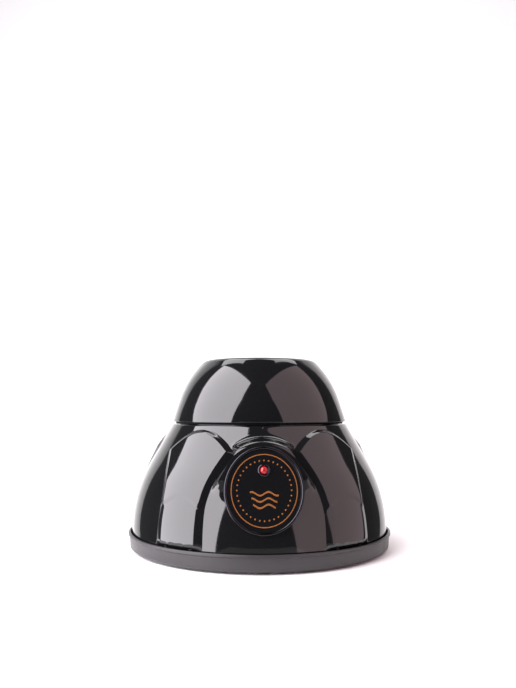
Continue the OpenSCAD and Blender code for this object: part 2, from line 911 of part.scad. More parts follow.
module motor_cradle() {
    skirt_r = motor_r + 0.15 + cradle_wall;
    color("#2c2c2e")
        difference() {
            union() {
                bar(skirt_r, motor_top_z - cradle_skirt_h, cradle_top_z);
                for (a = slide_angles) rotate([0, 0, a]) {
                    translate([0, -2.2, motor_top_z - cradle_skirt_h + 2])
                        cube([post_ring_r, 4.4, cradle_skirt_h - 2 + cradle_plate_t]);
                    translate([post_ring_r, 0, 0]) bar(sleeve_r, sleeve_bottom_z, sleeve_top_z);
                }
                translate([finger_x - 1.5, 0, cradle_top_z - 7])
                    cube([3, switch_y + finger_r, 7]);
                translate([finger_x, switch_y, 0])
                    bar(finger_r, finger_z + finger_r, cradle_top_z);
                translate([finger_x, switch_y, finger_z + finger_r]) sphere(r = finger_r);
            }
            bar(motor_r + 0.15, 0, motor_top_z);
            bar(motor_boss_r + gap, 0, reach);
            for (x = [-1, 1]) translate([x * motor_screw_pitch / 2, 0, 0]) bar(1.6, 0, reach);
            round_array(slide_angles, post_ring_r) bar(bush_r + press_gap, 0, reach);
        }
}

module guide_bushes() {
    color("#b08d3c")
        round_array(slide_angles, post_ring_r) {
            ring(bush_r, post_r + fit_gap, sleeve_bottom_z, sleeve_bottom_z + bush_h);
            ring(bush_r, post_r + fit_gap, sleeve_top_z - bush_h, sleeve_top_z);
        }
}

module motor_can() {
    cap_h = 6;
    color("#b9bbbe")
        difference() {
            union() {
                intersection() {
                    bar(motor_r, motor_bottom_z + cap_h, motor_top_z);
                    translate([-reach, -motor_r + 1.6, 0])
                        cube([2 * reach, 2 * (motor_r - 1.6), reach]);
                }
                bar(motor_r, motor_top_z - cradle_skirt_h - 1, motor_top_z);
                bar(motor_boss_r, motor_top_z - eps, cradle_top_z - 0.2);
            }
            bar(shaft_r + fit_gap, motor_top_z - shaft_depth - 1, reach);
            for (x = [-1, 1])
                translate([x * motor_screw_pitch / 2, 0, 0]) bar(1.25, motor_top_z - 5, reach);
        }
}

module motor_end_cap() {
    color("#e8e6df")
        difference() {
            intersection() {
                bar(motor_r - 0.4, motor_bottom_z, motor_bottom_z + 6);
                translate([-reach, -motor_r + 1.6, 0])
                    cube([2 * reach, 2 * (motor_r - 1.6), reach]);
            }
            ring(motor_r - 3, 4, motor_bottom_z - 1, motor_bottom_z + 1.2);
        }
}

module motor_terminals() {
    color("#c9a64a")
        for (x = [-1, 1])
            translate([x * 7.5 - 1.4, -0.25, motor_bottom_z - 2.6])
                difference() {
                    cube([2.8, 0.5, 2.6 + 1.2]);
                    translate([1.4, 2, 1]) rotate([90, 0, 0]) cylinder(r = 0.6, h = 4);
                }
}

module motor_screws() {
    color("#8a8a8c")
        for (x = [-1, 1])
            translate([x * motor_screw_pitch / 2, 0, cradle_top_z]) rotate([180, 0, 0])
                screw_up(2.4, 1.4, 1.2, cradle_plate_t + 4.5);
}

// ================= crank and bearing =================

shaft_depth = 11;
module motor_shaft() {
    color("#cfd0d2")
        difference() {
            bar(shaft_r, motor_top_z - shaft_depth, hub_top_z - 0.5);
            translate([shaft_r - 0.25, -2, hub_z + 2]) cube([2, 4, reach]);
        }
}

module eccentric_hub() {
    color("#c8b06a")
        difference() {
            union() {
                bar(hub_r, hub_z, hub_top_z);
                difference() {
                    bar(weight_r, weight_z, weight_z + weight_t);
                    rotate([0, 0, 25]) translate([0, -reach, 0]) cube(2 * reach);
                    rotate([0, 0, -25]) translate([0, -reach, 0]) cube(2 * reach);
                }
                translate([throw, 0, 0]) {
                    bar(pin_r + 1, hub_top_z - eps, bearing_z);
                    bar(pin_r, bearing_z - eps, pin_top_z);
                }
            }
            difference() {
                bar(shaft_r + press_gap, hub_z - 1, hub_top_z);
                translate([shaft_r - 0.23, -2, hub_z + 2]) cube([2, 4, reach]);
            }
            translate([0, 0, grub_z]) rotate([0, 90, 0]) bar(1.5, shaft_r - 0.2, reach);
            translate([throw, 0, 0]) ring(pin_r + 1, pin_r - 0.5, bearing_top_z, bearing_top_z + clip_t);
        }
}

grub_z = hub_z + weight_t / 2 + 2.6;

module grub_screw() {
    color("#55575a")
        translate([0, 0, grub_z]) rotate([0, 90, 0])
            difference() {
                bar(1.45, shaft_r - 0.15, hub_r - 0.4);
                translate([0, 0, hub_r - 2]) cylinder(r = 0.75, h = 5, $fn = 6);
            }
}

module raceway(r) {
    rotate_extrude() translate([ball_ring_r, bearing_z + bearing_w / 2]) circle(r = ball_r + r);
}

module bearing_inner_ring() {
    color("#c2c4c7")
        translate([throw, 0, 0])
            difference() {
                ring(race_inner_r, pin_r, bearing_z, bearing_top_z);
                raceway(0.03);
            }
}

module bearing_outer_ring() {
    color("#c2c4c7")
        translate([throw, 0, 0])
            difference() {
                ring(bearing_r, race_outer_r, bearing_z, bearing_top_z);
                raceway(0.03);
            }
}

module bearing_balls() {
    color("#e4e5e7")
        translate([throw, 0, bearing_z + bearing_w / 2])
            round_array([for (k = [0:balls - 1]) k * 360 / balls], ball_ring_r)
                sphere(r = ball_r);
}

module bearing_cage() {
    color("#b98d3a")
        translate([throw, 0, 0])
            difference() {
                ring(ball_ring_r + 0.6, ball_ring_r - 0.6, bearing_z + 1, bearing_top_z - 1);
                for (k = [0:balls - 1])
                    rotate([0, 0, k * 360 / balls])
                        translate([0, 0, bearing_z + bearing_w / 2])
                            rotate([0, 90, 0]) bar(ball_r + 0.03, 2, bearing_r);
            }
}

module bearing_clip() {
    color("#55575a")
        translate([throw, 0, 0])
            difference() {
                ring(pin_r + 1.1, pin_r - 0.45, bearing_top_z + 0.05, bearing_top_z + clip_t - 0.05);
                translate([0, -1.6, 0]) cube([10, 3.2, reach]);
            }
}

// ================= cup =================

module cup_carrier() {
    color("#202022")
        translate([throw, 0, 0])
            difference() {
                union() {
                    bar(carrier_r, bearing_z - 0.3, flange_top_z - eps);
                    bar(cup_r - 0.6, flange_z, flange_top_z);
                    for (k = [0:5]) rotate([0, 0, 60 * k])
                        translate([carrier_r - 1, -0.8, flange_z - 4]) rotate([-90, 0, 0])
                            linear_extrude(height = 1.6)
                                polygon([[0, 0], [0, -4 - eps], [6, -4 - eps], [6, -3.4]]);
                }
                bar(bearing_r, bearing_z - 1, bearing_top_z);
                bar(bearing_r - 1.3, bearing_z, flange_z);
            }
}

module rubber_cup() {
    floor_top = flange_top_z + cup_floor_t;
    socket_z = cup_top_z - socket_h;
    color("#18181a")
        translate([throw, 0, 0]) {
            difference() {
                rotate_extrude($fn = 120)
                    polygon([
                        [0, flange_top_z], [cup_r - 0.8, flange_top_z],
                        [cup_r, flange_top_z + 1], [cup_r, cup_top_z - 1],
                        [cup_r - 0.6, cup_top_z], [socket_r, cup_top_z],
                        [socket_r, socket_z], [pocket_r, floor_top], [0, floor_top]
                    ]);
                for (k = [0:2])
                    ring(cup_r + 1, cup_r - 0.5, flange_top_z + 2.5 + 2.4 * k, flange_top_z + 3.5 + 2.4 * k);
            }
            for (k = [0:grip_ribs - 1]) rotate([0, 0, 360 * k / grip_ribs])
                rotate([90, 0, 0]) translate([0, 0, -0.5])
                    linear_extrude(height = 1)
                        polygon([
                            [pocket_r - 1, floor_top - eps], [socket_r + 0.5, socket_z],
                            [socket_r - 0.9, socket_z], [pocket_r - 1.6, floor_top - eps]
                        ]);
        }
}

// ================= microswitch =================

bracket_screw_y = bracket_y + bracket_t + 4;
switch_hole_x = 3.2;

module switch_bracket() {
    color("#b4b6b9")
        difference() {
            union() {
                translate([-7, bracket_y, floor_z]) cube([14, bracket_t, switch_top_z - floor_z]);
                translate([-6, bracket_y, floor_z]) cube([12, 8.5, bracket_t]);
            }
            translate([0, bracket_screw_y, 0]) bar(1.1, 0, floor_z + 3);
            for (x = [-1, 1]) translate([x * switch_hole_x, bracket_y - 1, switch_z + 2])
                rotate([-90, 0, 0]) cylinder(r = 0.9, h = 5);
        }
}

module microswitch_body() {
    color("#232326")
        difference() {
            translate([-switch_size.x / 2, switch_y - switch_size.y / 2, switch_z]) cube(switch_size);
            for (x = [-1, 1]) translate([x * switch_hole_x, 0, switch_z + 2])
                rotate([-90, 0, 0]) cylinder(r = 1, h = reach);
            translate([plunger_x - plunger_w / 2 - 0.1, switch_y - 1.2, switch_top_z - 2])
                cube([plunger_w + 0.2, 2.4, 3]);
        }
    color("#c9a64a")
        for (x = [-4.6, 0, 4.6])
            translate([x - 0.5, switch_y - 0.25, switch_z - 3]) cube([1, 0.5, 3]);
    color("#232326")
        difference() {
            for (y = [-1, 1])
                translate([lever_pivot_x - 1, switch_y + y * (lever_w / 2 + 0.4) - 0.3, switch_top_z])
                    cube([2, 0.6, lever_pivot_z - switch_top_z + 0.8]);
            at_lever() lever_axle(lever_pin_r + 0.05, lever_w + 4);
        }
}

plunger_x = lever_pivot_x + plunger_at;

module microswitch_plunger() {
    color("#b6412c")
        translate([plunger_x - plunger_w / 2, switch_y - 1.1, switch_top_z - 1])
            cube([plunger_w, 2.2, plunger_top_z - switch_top_z + 1]);
}

// The lever's own frame: its pivot, with x along the lever at rest
module at_lever() {
    translate([lever_pivot_x, switch_y, lever_pivot_z]) rotate([0, -lever_rise, 0]) children();
}

module lever_axle(r, length) {
    rotate([90, 0, 0]) cylinder(r = r, h = length, center = true);
}

module microswitch_lever() {
    color("#d0d1d3")
        at_lever() {
            difference() {
                union() {
                    translate([0, -lever_w / 2, -lever_t / 2]) cube([lever_reach, lever_w, lever_t]);
                    lever_axle(0.6, lever_w);
                }
                translate([6, -0.8, -1]) cube([2, 1.6, 2]);
            }
            lever_axle(lever_pin_r, lever_w + 1.4);
        }
}

module microswitch_screws() {
    color("#8a8a8c")
        for (x = [-1, 1])
            translate([x * switch_hole_x, switch_y - switch_size.y / 2, switch_z + 2])
                rotate([-90, 0, 0])
                    screw_up(1.6, 1, 0.85, switch_size.y + bracket_t + 0.6);
}

// ================= power inlet and rocker =================

module inlet_body() {
    color("#1a1a1c")
        at_jack()
            difference() {
                union() {
                    bar(jack_flange_r, 0, jack_flange_t);
                    bar(jack_r, -jack_depth - 2, eps);
                }
                bar(jack_socket_r, -jack_depth + jack_flange_t, 5);
                bar(jack_pin_r, -jack_depth - 5, 0);
            }
    color("#c9a64a")
        at_jack() for (x = [-1, 1])
            translate([x * 1.8 - 0.6, -0.2, -jack_depth - 4.5]) cube([1.2, 0.4, 2.5]);
}

module inlet_pin() {
    color("#c9a64a")
        at_jack() {
            bar(jack_pin_r, -jack_depth - 1, -0.4 - jack_pin_r);
            translate([0, 0, -0.4 - jack_pin_r]) sphere(r = jack_pin_r);
        }
}

module inlet_nut() {
    color("#b9bbbe")
        at_jack()
            translate([0, 0, -jack_pad_t - 2])
                difference() {
                    cylinder(r = 6, h = 2, $fn = 6);
                    bar(jack_r + fit_gap, -1, 3);
                }
}

// The contact tabs are rooted this far in the switch's body
tab_root = 0.8;
module rocker_frame() {
    body = [rocker_cut.x - 0.3, rocker_cut.y - 0.3];
    well = [rocker_w - 3.4, rocker_h - 3.2];
    color("#1a1a1c")
        at_rocker()
            difference() {
                union() {
                    translate([-rocker_w / 2, -rocker_h / 2, 0]) cube([rocker_w, rocker_h, 1.4]);
                    translate([-body.x / 2, -body.y / 2, -rocker_body_d])
                        cube([body.x, body.y, rocker_body_d + eps]);
                }
                translate([-well.x / 2, -well.y / 2, -5]) cube([well.x, well.y, 10]);
                translate([0, 0, key_axis]) key_axle(key_axle_r + fit_gap, rocker_w);
            }
    color("#c9a64a")
        at_rocker() for (y = [-1, 1])
            translate([-1.5, y * 3.5 - 0.3, -rocker_body_d - 4]) cube([3, 0.6, 4 + tab_root]);
}

// The key turns about an axis across the frame. It rests with its lower end pressed in.
key_axis = -1.2;
key_axle_r = 0.9;
module key_axle(r, length) {
    rotate([0, 90, 0]) cylinder(r = r, h = length, center = true);
}

module rocker_key() {
    w = rocker_w - 3.4 - 0.5;
    half = rocker_h / 2 - 1.6 - 0.55;
    color("#262628")
        at_rocker()
            translate([-w / 2, 0, key_axis])
                rotate([rocker_turn / 2, 0, 0])
                    rotate([90, 0, 90])
                        linear_extrude(height = w)
                            polygon([
                                [-half, 2.6], [-half + 0.3, 3.1], [-half / 2, 2.9], [0, 2.55],
                                [half / 2, 2.9], [half - 0.3, 3.1], [half, 2.6],
                                [half - 0.5, 0.4], [2, -1.8], [-2, -1.8], [-half + 0.5, 0.4]
                            ]);
    color("#262628")
        at_rocker() translate([0, 0, key_axis]) key_axle(key_axle_r, rocker_cut.x - 0.5);
}

// ================= control board and wires =================
board_z = 8;
board_t = 1.6;
board_corner = [-43.5, 25];
board_size = [23, 12.5];
standoffs = [
    board_corner + [3, 3],
    board_corner + board_size - [3, 3]
];

module control_board() {
    color("#1d5c33")
        difference() {
            translate([board_corner.x, board_corner.y, board_z])
                cube([board_size.x, board_size.y, board_t]);
            for (p = standoffs) translate(p) bar(1.15, 0, 20);
        }
}

module board_parts() {
    top = board_z + board_t;
    color("#20242c")
        translate([board_corner.x + 7.5, board_corner.y + 4, top]) cube([5, 4, 1.6]);
    color("#2a3c7a")
        translate([board_corner.x + 17, board_corner.y + 4, 0]) bar(2.6, top, top + 7);
    color("#e6e2d6")
        translate([board_corner.x + 1.5, board_corner.y + 7.5, top]) cube([8, 4.2, 5]);
}

module board_screws() {
    color("#8a8a8c")
        for (p = standoffs)
            translate([p.x, p.y, board_z + board_t]) rotate([180, 0, 0])
                screw_up(1.9, 1.2, 0.85, board_t + 3.5);
}

wire_sides_n = 8;
wire_tube_r = 0.7;
jack_tail_y = jack_seat_y - jack_depth - 4.5;
board_pin = [board_corner.x + 5.2, board_corner.y + 9.6];
inlet_wire = [
    [1.8, jack_tail_y - 0.1, jack_z], [1.8, jack_tail_y - 2.4, jack_z - 0.2],
    [0, jack_tail_y - 4, jack_z - 2.4], [-5, jack_tail_y - 5.4, 11.8],
    [-10.5, jack_tail_y - 6, 11], [-16, jack_tail_y - 7, 12.5],
    [-22, jack_tail_y - 8.8, 14.6], [-30, board_pin.y + 1.8, 16.6],
    [board_pin.x + 2.3, board_pin.y + 0.3, 17.2], [board_pin.x + 0.3, board_pin.y, 16.4],
    [board_pin.x, board_pin.y, 14.7]
];
// A point in the rocker's frame: y down its face, z out of it
function rocker_at(y, z) = [
    0,
    rocker_seat_y + y * sin(rocker_lean) + z * cos(rocker_lean),
    rocker_z - y * cos(rocker_lean) + z * sin(rocker_lean)
];
rocker_tail = -rocker_body_d - 4;
rocker_wire = [
    rocker_at(3.5, rocker_tail - 0.05), rocker_at(3.6, rocker_tail - 1.6),
    [-1.5, 39.6, 26.6], [-4.5, 38.2, 24.2], [-9, 37.4, 21.8], [-14, 37, 20],
    [-22, 37, 18.8], [-32, 36, 19.2], [board_pin.x - 0.9, board_pin.y + 0.4, 18.6],
    [board_pin.x - 2.3, board_pin.y, 16.8], [board_pin.x - 2.4, board_pin.y, 14.7]
];
function wire_dir(p, i) =
    unit(p[min(i + 1, len(p) - 1)] - p[max(i - 1, 0)]);
function wire_ring(p, i) =
    let (
        d = wire_dir(p, i),
        side = unit(cross(d, [0.05, 0.1, 1])),
        up = cross(side, d)
    )
    [for (j = [0:wire_sides_n - 1])
        p[i] + wire_tube_r * (side * cos(360 * j / wire_sides_n) + up * sin(360 * j / wire_sides_n))];

module wire(path) {
    points = [for (i = [0:len(path) - 1]) each wire_ring(path, i)];
    polyhedron(points = points, faces = tube_faces(len(path), wire_sides_n));
}

module wires() {
    color("#a02020") wire(inlet_wire);
    color("#202020") wire(rocker_wire);
}

base_tray();
ballast_plate();
ballast_screws();
rubber_feet();
base_screws();
lower_dome();
upper_dome();
dome_screws();
badge_ring();
badge_disc();
lamp_bezel();
lamp_lens();
lamp_board();
guide_posts();
post_washers();
post_screws();
return_springs();
switch_bracket();
microswitch_body();
microswitch_screws();
microswitch_lever();
microswitch_plunger();
inlet_body();
inlet_pin();
inlet_nut();
rocker_frame();
rocker_key();
control_board();
board_parts();
board_screws();
wires();
motor_cradle();
guide_bushes();
motor_can();
motor_end_cap();
motor_terminals();
motor_screws();
motor_shaft();
eccentric_hub();
grub_screw();
bearing_inner_ring();
bearing_clip();
bearing_balls();
bearing_cage();
bearing_outer_ring();
cup_carrier();
rubber_cup();
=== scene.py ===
# %% [markdown]
# This script dresses a domed desk shaker: a glossy black two-part dome on a satin
# tray, with a round badge in front and a cup in its top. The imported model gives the
# frame, so each piece is made where its solid already stands.

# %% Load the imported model
import json

import bpy
import numpy as np
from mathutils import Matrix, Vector


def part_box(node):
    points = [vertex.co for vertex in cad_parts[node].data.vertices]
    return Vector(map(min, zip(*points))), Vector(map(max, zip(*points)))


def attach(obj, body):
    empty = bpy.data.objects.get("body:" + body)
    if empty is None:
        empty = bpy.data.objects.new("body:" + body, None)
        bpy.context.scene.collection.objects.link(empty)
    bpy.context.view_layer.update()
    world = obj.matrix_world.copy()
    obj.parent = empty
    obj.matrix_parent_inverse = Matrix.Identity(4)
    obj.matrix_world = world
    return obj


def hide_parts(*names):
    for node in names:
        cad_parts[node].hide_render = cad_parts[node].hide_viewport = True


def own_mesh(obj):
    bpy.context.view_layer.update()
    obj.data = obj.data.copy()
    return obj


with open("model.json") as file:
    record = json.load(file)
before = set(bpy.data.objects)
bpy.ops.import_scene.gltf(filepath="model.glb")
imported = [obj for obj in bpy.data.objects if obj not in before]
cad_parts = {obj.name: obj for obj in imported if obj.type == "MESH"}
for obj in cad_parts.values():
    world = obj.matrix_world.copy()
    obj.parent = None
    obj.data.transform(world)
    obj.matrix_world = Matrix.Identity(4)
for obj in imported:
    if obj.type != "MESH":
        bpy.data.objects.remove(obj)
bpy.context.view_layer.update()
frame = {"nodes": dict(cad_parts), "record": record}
MM = 0.001

# %% [markdown]
# Most pieces are surfaces over a grid of two parameters. One helper turns such a grid
# of points into a mesh, so the cells below only have to say where the points are.


# %% Grid to mesh
def quads(rows, columns, close_rows=False, close_columns=False):
    """Corner numbers of every cell of a grid; a closed direction joins its last line to its first."""
    row, column = np.meshgrid(
        np.arange(rows if close_rows else rows - 1),
        np.arange(columns if close_columns else columns - 1),
        indexing="ij",
    )
    row, column = row.ravel(), column.ravel()
    next_row, next_column = (row + 1) % rows, (column + 1) % columns
    corners = [(row, column), (row, next_column), (next_row, next_column), (next_row, column)]
    return np.stack([r * columns + c for r, c in corners], axis=1)


def new_object(name, points, cells, body="housing", smooth_angle=35):
    """A mesh from points in millimetres and rows of corner numbers, on a body."""
    rings = (list(dict.fromkeys(cell)) for cell in np.asarray(cells).tolist())
    mesh = bpy.data.meshes.new(name)
    mesh.from_pydata((np.asarray(points) * MM).tolist(), [], [ring for ring in rings if len(ring) > 2])
    piece = bpy.data.objects.new(name, mesh)
    bpy.context.scene.collection.objects.link(piece)
    mesh.shade_smooth()
    mesh.set_sharp_from_angle(angle=np.radians(smooth_angle))
    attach(piece, body)
    return piece


def eased(t):
    """A ramp from 0 to 1 that starts and ends level."""
    return t * t * (3 - 2 * t)


def weld(points, cells, grain=1e-4):
    """Joins points that lie closer than the grain; a cell may keep the same corner twice."""
    _, first, same = np.unique(
        np.round(points / grain).astype(np.int64), axis=0, return_index=True, return_inverse=True
    )
    return points[first], same.reshape(-1)[cells]


# %% [markdown]
# The side of the lower dome is an upright foot, a long arc and a straight lean up to
# the seam. Its sizes are the driving sizes of the solid, so the mesh and the solid
# agree. A point on it is given by its angle round the axis, its height and how far it
# is raised from the surface.

# %% Lower dome: side line
lower_low, lower_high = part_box("lower_dome")
dome_r = 63.49
seam_drop = 0.6
foot_z, seam_z = lower_low.z / MM, lower_high.z / MM - seam_drop
shoulder_z, side_r, side_lean = 9.5, 66.0, np.radians(29.5)
wall = 3.0
seam_roll = 0.6
lean_z = shoulder_z + side_r * np.sin(side_lean)


def side_angle(z):
    """Backward lean of the side at height z: 0 on the foot, growing over the arc, then constant."""
    return np.arcsin(np.clip((z - shoulder_z) / side_r, 0, np.sin(side_lean)))


def side_radius(z):
    """Radius at height z: foot, arc about an axis inside the dome, then a straight line."""
    lean = side_angle(z)
    on_arc = dome_r - side_r + side_r * np.cos(lean)
    return on_arc - np.clip(z - lean_z, 0, None) * np.tan(side_lean)


def dome_points(angle, z, rise):
    """Points at an angle and a height, raised along the surface normal; the seam's edge is rolled."""
    lean = side_angle(z)
    roll = np.clip((z - (seam_z - seam_roll)) / seam_roll, 0, 1)
    out = rise - seam_roll * (1 - np.sqrt(1 - roll**2))
    r = side_radius(z) + out * np.cos(lean)
    raised_z = z + out * np.sin(lean)
    return np.stack(np.broadcast_arrays(r * np.cos(angle), r * np.sin(angle), raised_z), axis=-1)


print("foot", foot_z, "seam", seam_z, "seam radius", round(float(side_radius(seam_z)), 2))

# %% [markdown]
# Four arch panels stand a little over a millimetre proud of the dome, and the rear one is
# sunk for the switch. Each is a wide pointed arch on a narrow stem, with a sloping rim. A
# mesh whose lines follow the outline shows clean reflections, so each fifth of the dome
# is a grid that runs from the middle of one pier, over the outline and the rim, to the
# middle of the panel.

# %% Arch panels: outlines
arch_step = np.radians(72)
crease_z, kink_z, apex_z = 25.0, 48.8, 58.6
stem_half, kink_half = 11.7, 22.0
face_stem_half, face_kink_half = 8.2, 17.8
face_kink_z, face_apex_z = 49.0, 57.0
flare, outline_arch, face_arch = 1.9, 2.1, 2
shoulder_half, shoulder_height = 1.3, 3.5
arch_rise, stem_rise = 1.5, 1.2
step_z, step_half, step_dip = 30, 9, 4
step_sharp, step_soft = 0.5, 2.2
foot_fade, foot_ramp = 9.0, 1.2
sunk = -1.1


def outline_half(z):
    """Half angle of the outline: constant on the stem, then flaring with a power of the height."""
    t = np.clip((z - crease_z) / (kink_z - crease_z), 0, 1)
    return np.radians(stem_half + (kink_half - stem_half) * t**flare)


def face_half(z):
    """Half angle of the face: a small shoulder where the stem ends, then the same kind of flare."""
    t = np.clip((z - crease_z) / (face_kink_z - crease_z), 0, 1)
    shoulder = shoulder_half * np.clip((z - crease_z) / shoulder_height, 0, 1) * (1 - t)
    return np.radians(face_stem_half + shoulder + (face_kink_half - face_stem_half) * t**flare)


def face_rise(angle, z):
    """Rise of the face: the arch stands higher than the stem, with a step that fades in its middle."""
    side = np.clip(np.abs(np.degrees(angle)) / step_half, 0, 1.2)
    crease = step_z - step_dip * side**2
    width = step_sharp + step_soft * (1 - np.clip(side, 0, 1)) ** 1.5
    step = np.clip((z - crease) / width + 0.5, 0, 1)
    rise = stem_rise + (arch_rise - stem_rise) * eased(step)
    return rise * np.clip((z - foot_fade) / foot_ramp, 0, 1)


# %% [markdown]
# Moulded edges aren't sharp. The rim's slope is switched on and off over half a
# millimetre, which gives the thin bright line that runs along each edge.


# %% Arch panels: grid
def soft_step(s, width, foot=0.35, edge=0.55):
    """A ramp from 0 at s = 0 to 1 at s = width, with both of its corners rounded by a parabola."""
    start = np.where(s > foot, s, np.clip(s + foot, 0, None) ** 2 / (4 * foot))
    t = s - width
    end = np.where(t > edge, t, np.clip(t + edge, 0, None) ** 2 / (4 * edge))
    return np.clip((start - end) / width, 0, 1)


# Rows lie closest between these two heights, where the stem meets the arch
fine_low, fine_high = 22, 32
side_rows = np.concatenate([
    np.linspace(foot_z, fine_low, 24)[:-1],
    np.linspace(fine_low, fine_high, 27)[:-1],
    np.linspace(fine_high, kink_z, 23),
])
arch_rows = np.linspace(1, 0, 30)[1:]

# Rows of one half: up the side to the kink, then round the arch to its top
outline_a = np.concatenate([outline_half(side_rows), arch_rows * np.radians(kink_half)])
outline_z = np.concatenate([side_rows, apex_z - (apex_z - kink_z) * arch_rows**outline_arch])
face_rows = foot_z + (side_rows - foot_z) * (face_kink_z - foot_z) / (kink_z - foot_z)
face_a = np.concatenate([face_half(face_rows), arch_rows * np.radians(face_kink_half)])
face_z = np.concatenate([face_rows, face_apex_z - (face_apex_z - face_kink_z) * arch_rows**face_arch])
border_z = foot_z + (side_rows - foot_z) * (seam_z - foot_z) / (kink_z - foot_z)
border_a = np.concatenate([np.full(len(side_rows), arch_step / 2), arch_rows * arch_step / 2])
border_z = np.concatenate([border_z, np.full(len(arch_rows), seam_z)])
spine_share, spine_kink_z, spine_arch = 0.86, 42.5, 8
spine_z = np.concatenate([
    foot_z + (side_rows - foot_z) * spine_share, spine_kink_z + spine_arch * (1 - arch_rows)
])
spine_a = np.zeros_like(spine_z)


def span(a0, z0, a1, z1):
    """Length in millimetres between two places on the dome."""
    ends = dome_points(a0, z0, 0), dome_points(a1, z1, 0)
    return np.linalg.norm(ends[0] - ends[1], axis=-1)


wall_w = span(outline_a, outline_z, face_a, face_z)
out_len = span(border_a, border_z, outline_a, outline_z)
in_len = span(face_a, face_z, spine_a, spine_z)

# Columns have fixed distances near the pier's middle and next to each edge, within edge_band
edge_band, pier_edge = 0.9, 1.3
edge_cols = np.array([0, 0.12, 0.25, 0.4, 0.6, 0.8])
out_t = np.linspace(0, 1, 16)[1:]
out_d = np.concatenate([
    -out_len[:, None] + edge_cols,
    (edge_cols[-1] - out_len[:, None]) * (1 - out_t) - edge_band * out_t,
    np.tile([-0.65, -0.4, -0.2], (len(out_len), 1)),
], axis=1)
wall_d = np.concatenate([
    np.tile([0, 0.2, 0.4, 0.8], (len(wall_w), 1)),
    wall_w[:, None] * 0.5,
    wall_w[:, None] - [0.8, 0.55, 0.3],
], axis=1)
in_t = np.linspace(0, 1, 14)
in_d = np.concatenate([
    np.tile([0, 0.25, 0.5], (len(in_len), 1)),
    edge_band + (in_len[:, None] - edge_band) * in_t,
], axis=1)

half_a = np.concatenate([
    outline_a[:, None] - (outline_a - border_a)[:, None] * (-out_d / out_len[:, None]),
    outline_a[:, None] + (face_a - outline_a)[:, None] * (wall_d / wall_w[:, None]),
    face_a[:, None] + (spine_a - face_a)[:, None] * (in_d / in_len[:, None]),
], axis=1)
half_z = np.concatenate([
    outline_z[:, None] - (outline_z - border_z)[:, None] * (-out_d / out_len[:, None]),
    outline_z[:, None] + (face_z - outline_z)[:, None] * (wall_d / wall_w[:, None]),
    face_z[:, None] + (spine_z - face_z)[:, None] * (in_d / in_len[:, None]),
], axis=1)
run = np.concatenate([out_d, wall_d, wall_w[:, None] + in_d], axis=1)
half_rise = face_rise(half_a, half_z) * soft_step(run, wall_w[:, None])
half_pier = np.clip(-run / pier_edge, 0, 1)
print("panel grid:", half_a.shape, "walls of", wall_w.min().round(1), "to", wall_w.max().round(1), "mm")

# %% [markdown]
# The badge sits on a flat round seat that grows out of the front pier. The seat's
# height over the surface is blended with the dome by a smooth maximum, as a fillet
# would be, and fades to nothing over its lower half, where the band reaches down to the
# pier. The seat's frame is the badge's: x across, y up its face, z out of it.

# %% Badge seat
badge_z, badge_tilt, badge_lift = 34.0, np.radians(14), 0.6
badge_w, badge_h, ring_w = 34.4, 37.4, 1.3
seat_up, seat_r, seat_round = 0.8, 18.3, 2.8
roll_share, skirt_slope, seat_fillet = 0.95, 2.0, 2.2
fade_start, fade_height = 5, 12
reach_r, reach_fade = 30, 4
sink_depth, sink_share = 0.6, 0.2
badge_origin = np.array([0, -side_radius(badge_z) - badge_lift, badge_z])
badge_axes = np.array([
    [1, 0, 0],
    [0, np.sin(badge_tilt), np.cos(badge_tilt)],
    [0, -np.cos(badge_tilt), np.sin(badge_tilt)],
])


def on_badge(x, y, z):
    """Points of the badge's frame in the object's frame."""
    return badge_origin + np.stack(np.broadcast_arrays(x, y, z), axis=-1) @ badge_axes


def smooth_max(a, b, blend):
    """The larger of two heights, rounded where they meet over about the blend's width."""
    t = np.clip(0.5 + 0.5 * (a - b) / blend, 0, 1)
    return b * (1 - t) + a * t + blend * t * (1 - t)


def raise_seat(points, pier):
    """Lifts the front pier near the badge to its seat, whose edge rolls over into a skirt."""
    local = (points - badge_origin) @ badge_axes.T
    x, y, z = local[..., 0], local[..., 1], local[..., 2]
    from_axis = np.hypot(x, y - seat_up)
    over = np.clip(from_axis - seat_r, 0, None)
    rolled = np.clip(over, 0, seat_round * roll_share)
    edge = seat_round - np.sqrt(seat_round**2 - rolled**2)
    seat = -edge - skirt_slope * (over - rolled)
    upper = np.clip((y + fade_start) / fade_height, 0, 1)
    front = (points[..., 1] < 0) * np.clip((reach_r - from_axis) / reach_fade, 0, 1)
    share = front * pier * eased(upper)
    lifted = z + (smooth_max(z, seat, seat_fillet) - z) * share
    inside = 1 - np.hypot(x / (badge_w / 2), y / (badge_h / 2))
    sink = np.clip(inside / sink_share, 0, 1) * (front > 0)
    local[..., 2] = lifted * (1 - sink) + np.minimum(lifted, -sink_depth) * sink
    return badge_origin + local @ badge_axes


# %% [markdown]
# The rear panel has two openings. The power inlet sits in a round pocket, and the
# grid's lines next to it are drawn onto its circle, so the pocket's wall is clean.
# The rocker switch covers its own opening with a flange, so cells are only left out.

# %% Lower dome: outer skin
inlet_z, pocket_r = 17.0, 6.2
rocker_z, rocker_w, rocker_h = 40.0, 10.5, 15.0
flange_lap_x, flange_lap_z = 0.9, 0.8
first_panel, rear = np.radians(270 + 36), np.radians(90)


def mirrored(half, sign=1):
    """Both halves of a panel's grid from one of them."""
    return np.concatenate([sign * half, half[:, -2::-1]], axis=1)


